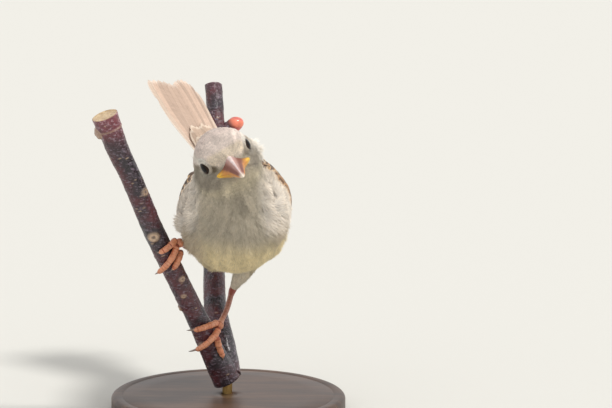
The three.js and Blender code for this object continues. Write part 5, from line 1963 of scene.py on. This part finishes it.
bark_patch = noise(bark_tree, 70.0, 5.0, bark_where, Roughness=0.6)
bark_fine = noise(bark_tree, 900.0, 4.0, bark_where, Roughness=0.7)
bark_crack = node(bark_tree, "ShaderNodeTexVoronoi", Scale=420.0, feature="DISTANCE_TO_EDGE",
                  Vector=squeezed(bark_tree, bark_where, (1.0, 1.0, 0.38)))
bark_base = ramp(bark_tree, bark_patch, (0.30, rgba(22, 16, 25)), (0.46, rgba(38, 24, 34)),
                 (0.58, rgba(82, 30, 38)), (0.72, rgba(44, 28, 43)))
# From 97 mm high up, the bark is painted pinker and its flecks pink-white: painted sunlight and gloss on the
# top of the twig.
bark_height_there = node(bark_tree, "ShaderNodeSeparateXYZ", Vector=bark_where).outputs["Z"]
sunlit_top = soft_step(bark_tree, bark_height_there, 0.097, 0.116)
bark_base = mixed(bark_tree, calculate(bark_tree, "MULTIPLY", sunlit_top, 0.65), bark_base, rgba(150, 76, 88))
bark_light = ramp(bark_tree, bark_fine, (0.35, 0.72), (0.62, 1.25))
bark_colour = mixed(bark_tree, 1.0, bark_base, bark_light, "MULTIPLY")
# The silver flecks are painted glints of the glossy bark, not a colour of it; the same noise also gives
# relief.
flecks = noise(bark_tree, 620.0, 3.0, squeezed(bark_tree, bark_where, (1.0, 1.0, 2.4)), Roughness=0.7)
painted_glint = ramp(bark_tree, flecks, (0.53, 0.0), (0.66, 0.75))
glint_colour = mixed(bark_tree, sunlit_top, rgba(128, 114, 128), rgba(214, 176, 186))
bark_colour = mixed(bark_tree, painted_glint, bark_colour, glint_colour)
bark_colour = mixed(bark_tree, attribute(bark_tree, "pale"), bark_colour, rgba(206, 176, 148))
wood = noise(bark_tree, 500.0, 3.0, bark_where)
wood_colour = ramp(bark_tree, wood, (0.35, rgba(178, 146, 104)), (0.65, rgba(214, 186, 142)))
bark_colour = mixed(bark_tree, attribute(bark_tree, "cut"), bark_colour, wood_colour)
feed(bark_tree, bark_colour, bark_shader.inputs["Base Color"])
feed(bark_tree, ramp(bark_tree, bark_patch, (0.35, 0.34), (0.65, 0.52)), bark_shader.inputs["Roughness"])
crack_height = ramp(bark_tree, bark_crack.outputs["Distance"], (0.0, 0.0), (0.12, 1.0))
bark_height = calculate(bark_tree, "ADD", crack_height, calculate(bark_tree, "ADD", bark_fine, flecks))
bumped(bark_tree, bark_shader, bark_height, 0.75, 0.00025)

# %% Stem and branch
STEM_SCARS = [
    (0.572, 100, 1.5, 1.8, 0.55, 0.95), (0.40, 60, 0.9, 1.1, 0.5, 0.8), (0.30, 168, 0.8, 1.2, 0.6, 0.9),
    (0.345, 95, 0.7, 0.9, 0.35, 0.7), (0.72, 40, 1.2, 1.5, 0.4, 0.6), (0.62, -60, 1.1, 1.4, 0.45, 0.6),
    (0.16, 120, 1.0, 1.3, 0.4, 0.6), (0.955, 90, 0.3, 30, 0.22, 0.3),
    (0.22, -120, 1.0, 1.2, 0.4, 0.6), (0.49, -150, 1.0, 1.2, 0.4, 0.6),
]
BRANCH_SCARS = [
    (0.36, -100, 1.0, 1.3, 0.4, 0.6), (0.58, 150, 1.1, 1.3, 0.45, 0.6), (0.80, 70, 1.0, 1.2, 0.4, 0.5),
    (0.775, 90, 0.3, 30, 0.25, 0.2), (0.92, -60, 0.9, 1.2, 0.35, 0.5),
]


def bark_piece(name, parts):
    """Joins bark tubes into one mesh with their attributes."""
    points, faces, start = [], [], 0
    values = {"pale": [], "relief": [], "cut": []}
    for grid, some_faces, some_values in parts:
        points.append(grid)
        faces += [tuple(int(i) + start for i in f) for f in some_faces]
        start += len(grid)
        for key in values:
            values[key].append(np.concatenate([some_values[key].ravel(), [0, 1 if key == "cut" else 0]]))
    made = face_outwards(shape_piece(name, np.concatenate(points), faces, bark_paint))
    for key, value in values.items():
        store(made.data, key, np.concatenate(value))
    print(f"{name}: {len(made.data.polygons)} faces")
    return made


def ball_part(centre, radius, seed, squash, rows=20, columns=32, rough=0.05):
    polar = np.linspace(0.05, math.pi - 0.05, rows)[:, None]
    turn_by = np.linspace(0, 2 * math.pi, columns, endpoint=False)[None, :]
    bumps = 1 + rough * bark_noise(turn_by, polar * 6, seed, (0.7, 0.6))
    flat = np.sin(polar)
    way = np.stack([flat * np.cos(turn_by), flat * np.sin(turn_by), np.cos(polar) + 0 * turn_by], -1)
    grid, faces = closed_tube(np.array(centre) + way * bumps[..., None] * radius * np.array(squash))
    zero = np.zeros(rows * columns)
    return grid, faces, {"pale": zero + 0.55, "relief": zero, "cut": zero}


knob = ball_part((-44.7, -18.8, 106), 2.5, 5, (1, 1, 1.1))
stem = bark_piece("twig_stem", [
    bark_tube(STEM, lambda t: stem_radius(t) - 0.12, 21, STEM_SCARS, 300, 72), knob])
branch = bark_piece("twig_branch", [
    bark_tube(BRANCH, lambda t: branch_radius(t) - 0.12, 61, BRANCH_SCARS, 260, 64),
    bark_tube(SPUR, lambda t: 2.55 - 0.35 * t, 71, [], 40, 40, cut_top=False, wrinkle=0.5)])

# %% [markdown]
# The side twig ends in a bud. Its scales wrap it in turns, each with its edge over the next, coral where
# they are plump and darker where they tuck in.

# %% Bud
# foot is painted shade on the half of the bud towards the twig.
BUD_COLOURS = {"plump": (234, 130, 102), "edge": (198, 82, 100), "foot": (104, 68, 68)}
bud_paint, bud_tree, bud_shader = new_material("bud_scales", Roughness=0.42, Coat_Weight=0.15)
bud_shade = ramp(bud_tree, noise(bud_tree, 520.0, 4.0), (0.3, 0.8), (0.7, 1.14))
bud_colour = mixed(bud_tree, 1.0, attribute(bud_tree, "pigment", "Color"), bud_shade, "MULTIPLY")
feed(bud_tree, bud_colour, bud_shader.inputs["Base Color"])


def bud_piece(centre, axis, radius, rows=48, columns=72):
    polar = np.linspace(0.03, math.pi - 0.03, rows)[:, None]
    around = np.linspace(0, 2 * math.pi, columns, endpoint=False)[None, :]
    first = unit(np.cross(axis, (0, 0, 1)))
    second = np.cross(axis, first)
    wrap = (3 * around / (2 * math.pi) + 1.6 * polar / math.pi) % 1.0
    under = smooth(wrap, 0.82, 1.0)
    reach = radius * (1 + 0.07 * wrap * np.sin(polar) - 0.09 * under * np.sin(polar))
    pointed = 1.36 - 0.1 * np.sin(polar) ** 2
    out = np.cos(around)[..., None] * first + np.sin(around)[..., None] * second
    way = np.cos(polar)[..., None] * pointed[..., None] * axis + np.sin(polar)[..., None] * out
    made = face_outwards(shape_piece("side_bud", *closed_tube(centre + way * reach[..., None]), bud_paint))
    flat = np.broadcast_to(polar, (rows, columns)).ravel()
    colours = np.tile(srgb(*BUD_COLOURS["plump"]), (rows * columns, 1))
    at_edge = np.maximum(under, 1 - smooth(wrap, 0, 0.2)).ravel()
    colours = tinted(colours, at_edge * 0.7, BUD_COLOURS["edge"])
    # The half of the bud towards the twig is painted brown-grey: painted shade.
    colours = tinted(colours, smooth(flat, 1.45, 2.2), BUD_COLOURS["foot"])
    store(made.data, "pigment", np.concatenate([colours, colours[[0, -1]]]), "FLOAT_COLOR")
    return made


bud = bud_piece(SPUR.at(np.array([0.95]))[0], SPUR.along(np.array([1.0]))[0], 2.65)
print("stem is", round(STEM.length, 1), "mm long and the branch", round(BRANCH.length, 1), "mm")

# %% [markdown]
# ## Legs and feet
# A songbird's leg below the ankle is bare: a thin scaled shank, a small pad, three toes forward and one
# back, each with a sharp curved claw. Toes are ringed with scutes, small plates that overlap like
# roof tiles, with a soft crease between each two. The foot is one distance field again, round the toes'
# routes, and its radius swells over each scute, so that the plates are real relief with no seams.

# %% Where the feet hold the stem
LEG = {"tarsus": 0.95, "ankle": 1.35, "ball": 1.75, "toe": 1.25, "toe_tip": 0.95, "claw": 0.62}
PRESS = 0.5  # millimetres by which soft pads and gripping claws sink into the rounding of the bark
FEET = {  # how far up the stem, how far out, three front toes and the hind one
    "right": (56.4, 1.2, [(14, 2.4, 98, 2.0, 0.3), (24, 0, 132, -4.8, 1.8), (10, -2.9, 78, -5.8, 0.3),
                          (-26, -0.4, -128, -1.4, 0.2)]),
    "left": (20.9, 0.5, [(14, 2.2, 104, 5.2, 2.2), (24, -0.2, 124, -2.4, 2.8), (48, -2.4, 54, -9.8, 0.3),
                         (-26, -0.4, -128, -1.4, 0.2)]),
}


def toe_route(hold, toe, start, stop, radius):
    """A toe: where it starts round and up the stem, where it ends, and how high it arches over the bark."""
    from_turn, from_up, to_turn, to_up, lift = toe
    share = np.linspace(start, stop, 7)
    arch = lift * share**2 + 0.8 * np.maximum(0, 1 - share) ** 3
    past = np.maximum(0, share - 1)
    reach = float(stem_radius(hold)) - PRESS + radius + arch - 5 * past**2
    place = hold + (from_up + (to_up - from_up) * share) / STEM.length
    return Route(beside(STEM, place, from_turn + (to_turn - from_turn) * share, reach))


def scutes(run, size, depth):
    """Swelling over each plate: quick rise behind a crease, slow fall to the next."""
    phase = (run / size) % 1.0
    return depth * (np.minimum(phase / 0.22, 1) * (1 - 0.35 * phase) - 0.5)


def chain_distance(p, route, radius_at, size, depth, pieces):
    """Distance from a scaled limb that follows a route, and how far along it the nearest place is."""
    stops = np.linspace(0, 1, pieces + 1)
    places = route.at(stops)
    best = np.full(len(p), 1e3)
    run = np.zeros(len(p))
    for i in range(pieces):
        a, b = places[i], places[i + 1]
        way = b - a
        share = np.clip((p - a) @ way / (way @ way), 0, 1)
        reach = np.linalg.norm(p - a - share[:, None] * way, axis=1)
        s = stops[i] + share * (stops[i + 1] - stops[i])
        d = reach - radius_at(s) - scutes(s * route.length, size, depth)
        closer = d < best
        best = np.where(closer, d, best)
        run = np.where(closer, s * route.length, run)
    return best, run


def soft_least(a, b, width):
    h = np.maximum(width - np.abs(a - b), 0) / width
    return np.minimum(a, b) - h * h * width / 4


def foot_limbs(label):
    up, off, toes = FEET[label]
    hold = up / STEM.length
    from_stem = float(stem_radius(hold)) - PRESS + LEG["ball"] + off
    ball = beside(STEM, np.array(hold + 0.2 / STEM.length), np.array(-2.0), from_stem)
    ankle = np.array(ANKLES[label], float)
    hip = apply(TRUNK, HIPS[label])
    above = ankle + unit(hip - ankle) * 3.2
    middle = ankle + (ball - ankle) * 0.55 + (0.6, 0, 0)
    shank = Route([above, ankle, middle, ball])
    ankle_share = np.linalg.norm(ankle - above) / shank.length
    shank_radius = profile((0, 1.2), (ankle_share, LEG["ankle"]), (ankle_share + 0.13, 0.97),
                           (0.86, LEG["tarsus"]), (1, 1.35))
    limbs = [(shank, shank_radius, 1.55, 0.10, 14)]
    for toe in toes:
        route = toe_route(hold, toe, 0, 1, LEG["toe"])
        joints = (0.36, 0.68) if toe is not toes[3] else (0.5,)

        def radius(s, joints=joints, length=route.length):
            base = LEG["toe"] - 0.12 + (LEG["toe_tip"] - LEG["toe"] + 0.06) * s
            for joint in joints:
                base = base + 0.13 * np.exp(-(((s - joint) / 0.07) ** 2))
            from_end = np.clip((1 - s) * length / 0.8, 0, 1)  # the last 0.8 mm is rounded off
            return base * (0.62 + 0.38 * np.sqrt(1 - (1 - from_end) ** 2))

        limbs.append((route, radius, 1.02, 0.17, 12))
    return limbs, ball, hold


leg_paint, leg_tree, leg_shader = new_material(
    "scaled_leg", Roughness=0.42, Subsurface_Weight=0.1, Subsurface_Radius=(0.0012, 0.0005, 0.0003))
leg_where = node(leg_tree, "ShaderNodeTexCoord").outputs["Object"]
leg_noise = noise(leg_tree, 700.0, 4.0, leg_where, Roughness=0.6)
leg_pores = node(leg_tree, "ShaderNodeTexVoronoi", Scale=3200.0, feature="F1", Vector=leg_where)
leg_light = ramp(leg_tree, leg_noise, (0.3, 0.78), (0.7, 1.15))
leg_colour = mixed(leg_tree, 1.0, attribute(leg_tree, "pigment", "Color"), leg_light, "MULTIPLY")
feed(leg_tree, leg_colour, leg_shader.inputs["Base Color"])
leg_height = calculate(leg_tree, "MULTIPLY_ADD", leg_pores.outputs["Distance"], -0.4, leg_noise)
bumped(leg_tree, leg_shader, leg_height, 0.4, 0.00012)

claw_paint, claw_tree, claw_shader = new_material("claw_horn", Roughness=0.3, Coat_Weight=0.2)
claw_colour = ramp(claw_tree, attribute(claw_tree, "along"), (0.0, rgba(176, 128, 104)),
                   (0.35, rgba(150, 130, 118)), (1.0, rgba(92, 80, 76)))
claw_shade = ramp(claw_tree, noise(claw_tree, 1200.0, 3.0), (0.3, 0.85), (0.7, 1.15))
claw_colour = mixed(claw_tree, 1.0, claw_colour, claw_shade, "MULTIPLY")
feed(claw_tree, claw_colour, claw_shader.inputs["Base Color"])

# ankle is painted shade: dark red where the shank meets the feathers.
LEG_COLOURS = {"toe": (214, 134, 96), "plate": (240, 188, 154), "crease": (150, 64, 48),
               "shank": (174, 120, 102), "ankle": (146, 66, 54)}
legs, claws = {}, {}
for label in ("left", "right"):
    limbs, ball, hold = foot_limbs(label)

    def foot_field(p, limbs=limbs, ball=ball):
        total = np.linalg.norm(p - ball, axis=1) - LEG["ball"] + 0.1
        for route, radius, size, depth, pieces in limbs:
            total = soft_least(total, chain_distance(p, route, radius, size, depth, pieces)[0], 0.55)
        return total

    spots = np.concatenate([route.at(np.linspace(0, 1, 9)) for route, *_ in limbs])
    low, high = spots.min(0) - 2.6, spots.max(0) + 2.6
    points, faces = surface_net(foot_field, low, high, 0.20, block=5)
    points = onto_surface(foot_field, points, 1)
    made = mesh_piece("leg_" + label, points, faces, leg_paint)
    nearest = np.full(len(points), 1e3)
    groove, kind = np.zeros(len(points)), np.zeros(len(points))
    for n, (route, radius, size, depth, pieces) in enumerate(limbs):
        d, run = chain_distance(points, route, radius, size, depth, pieces)
        phase = (run / size) % 1.0
        closer = d < nearest
        groove = np.where(closer, 1 - smooth(np.minimum(phase, 1 - phase), 0.0, 0.17), groove)
        kind = np.where(closer, 0 if n == 0 else 1, kind)
        nearest = np.where(closer, d, nearest)
    from_ankle = np.linalg.norm(points - np.array(ANKLES[label]), axis=1)
    colours = np.tile(srgb(*LEG_COLOURS["toe"]), (len(points), 1))
    patchy = 0.5 + 0.5 * ripple(points, 2.2, 4)
    colours = tinted(colours, (1 - groove) * 0.5 * patchy, LEG_COLOURS["plate"])
    from_ball = np.linalg.norm(points - ball, axis=1)
    colours = tinted(colours, (kind == 0) * smooth(from_ball, 1, 5), LEG_COLOURS["shank"])
    # Next to the feathers the shank is painted dark red: painted shade under the body.
    colours = tinted(colours, (1 - smooth(from_ankle, 1.5, 5)) * 0.8, LEG_COLOURS["ankle"])
    colours = tinted(colours, groove * 0.75, LEG_COLOURS["crease"])
    store(made.data, "pigment", colours, "FLOAT_COLOR")
    legs[label] = made

    made_claws = []
    for n, toe in enumerate(FEET[label][2]):
        route = toe_route(hold, toe, 0.93, 1.28, LEG["claw"])
        rows, columns = 22, 18
        s = np.linspace(0, 1, rows)
        centre = route.at(s)
        axis = route.along(s, 0.03)
        from_stem = centre - STEM.at(np.full(rows, hold + toe[3] / STEM.length))
        out_way = unit(from_stem - axis * (from_stem * axis).sum(1)[:, None])
        aside = np.cross(axis, out_way)
        radius = 0.64 * (1 - s) ** 0.75 + 0.035
        angle = np.linspace(0, 2 * math.pi, columns, endpoint=False)
        high = 1.15 * np.sin(angle)[None, :, None] * radius[:, None, None]
        wide = 0.8 * np.cos(angle)[None, :, None] * radius[:, None, None]
        rings = centre[:, None] + out_way[:, None] * high + aside[:, None] * wide
        claw = face_outwards(shape_piece(f"horn_{label}_{n + 1}", *closed_tube(rings), claw_paint))
        store(claw.data, "along", np.concatenate([np.repeat(s, columns), [0, 1]]))
        made_claws.append(claw)
    claws[label] = made_claws
    print(f"leg_{label}: {len(points)} vertices")

# %% [markdown]
# ## Stand
# A museum model needs a quiet stand: a round foot of dark turned wood with a rounded edge, and one brass
# rod that runs up into the cut end of the twig.

# %% Stand
def lathe(name, outline, columns, material):
    """Turns an outline of (radius, height) points round an upright axis."""
    outline = np.array(outline, float)
    angle = np.linspace(0, 2 * math.pi, columns, endpoint=False)[None, :]
    out, up = outline[:, :1], outline[:, 1:]
    rings = np.stack([out * np.cos(angle), out * np.sin(angle), up + 0 * angle], -1)
    return face_outwards(shape_piece(name, *closed_tube(rings), material))


STAND_RADIUS = 42
stand_paint, stand_tree, stand_shader = new_material("turned_walnut", Roughness=0.42)
stand_where = node(stand_tree, "ShaderNodeTexCoord").outputs["Object"]
stand_where = squeezed(stand_tree, stand_where, (14, 120, 120), Location=(0.3, 1.1, 0.2))
stand_grain = noise(stand_tree, 1.6, 5.0, stand_where, Roughness=0.55, Distortion=0.6)
stand_pores = noise(stand_tree, 14.0, 2.0, stand_where)
stand_base = ramp(stand_tree, stand_grain, (0.25, rgba(46, 33, 26)), (0.5, rgba(74, 53, 40)),
                  (0.75, rgba(98, 72, 54)))
stand_dark = ramp(stand_tree, stand_pores, (0.3, 0.72), (0.55, 1.08))
stand_colour = mixed(stand_tree, 1.0, stand_base, stand_dark, "MULTIPLY")
feed(stand_tree, stand_colour, stand_shader.inputs["Base Color"])
bumped(stand_tree, stand_shader, stand_pores, 0.15, 0.0002)
foot_outline = [(0.01, 0.0), (40.8, 0.0), (41.4, 0.15), (41.85, 0.6), (STAND_RADIUS, 1.1),
                (STAND_RADIUS, 4.4)]
for degrees in range(15, 91, 15):  # the rounded upper edge
    turned = math.radians(degrees)
    foot_outline.append((40.4 + 1.6 * math.cos(turned), 4.4 + 1.6 * math.sin(turned)))
foot_outline += [(38.5, 6.0), (38.1, 5.75), (37.7, 5.75), (37.3, 6.0), (30, 6.0), (18, 6.0), (6, 6.0),
                 (3.4, 6.0), (3.0, 5.7), (0.01, 5.7)]
turned_foot = lathe("turned_foot", foot_outline, 160, stand_paint)

rod_paint, rod_tree, rod_shader = new_material("brushed_brass", Roughness=0.32, Metallic=1.0)
rod_where = squeezed(rod_tree, node(rod_tree, "ShaderNodeTexCoord").outputs["Object"], (1, 1, 0.08))
rod_brush = noise(rod_tree, 900.0, 3.0, rod_where)
rod_colour = ramp(rod_tree, rod_brush, (0.3, rgba(150, 122, 72)), (0.7, rgba(196, 164, 104)))
feed(rod_tree, rod_colour, rod_shader.inputs["Base Color"])
rod_foot = STEM.at(np.array([0.0]))[0]
rod_end = rod_foot + STEM.along(np.array([0.0]))[0] * 4
rod_line = Route([(rod_foot[0], rod_foot[1], 2.0), rod_foot, rod_end])
rows, columns = 30, 40
share = np.repeat(np.linspace(0, 1, rows)[:, None], columns, 1)
degrees = np.degrees(np.linspace(0, 2 * math.pi, columns, endpoint=False)) + 0 * share
rod_rings = beside(rod_line, share, degrees, np.full(share.shape, 1.8))
rod = face_outwards(shape_piece("brass_rod", *closed_tube(rod_rings), rod_paint))
print("the stand is", 2 * STAND_RADIUS, "mm across")

# %% [markdown]
# ## Hand the pieces over
# Every piece is tied to the model's one body and stands in for the solids it replaces, which are
# hidden.

# %% Which piece stands for which solid
FLESH = ["head", "neck", "trunk", "thigh_left", "thigh_right"]


def hand_over(made, slot, *solids):
    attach(made, "root")
    if solids:
        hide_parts(*solids)


hand_over(skin, "down", *FLESH)
for made in coat:
    hand_over(made, "down")
for label in ("left", "right"):
    hand_over(eyeballs[label], "eye", "eye_" + label)
    hand_over(lids[label], "down")
    hand_over(wings[label][0], "wing_feathers", "wing_" + label)
    hand_over(wings[label][1], "wing_feathers")
for label in ("upper", "lower"):
    hand_over(bills[label], "bill", "bill_" + label)
hand_over(tail, "tail_feathers", "tail")
hand_over(stem, "bark", "perch_stem")
hand_over(branch, "bark", "perch_branch")
hand_over(bud, "bark")
for label in ("left", "right"):
    toes = [f"toe_{label}_{n}" for n in range(1, 5)]
    hand_over(legs[label], "leg", "foot_" + label, "tarsus_" + label, *toes)
    for n, claw in enumerate(claws[label]):
        hand_over(claw, "claw", f"claw_{label}_{n + 1}")
hand_over(turned_foot, "stand", "stand_base")
hand_over(rod, "rod", "stand_rod")
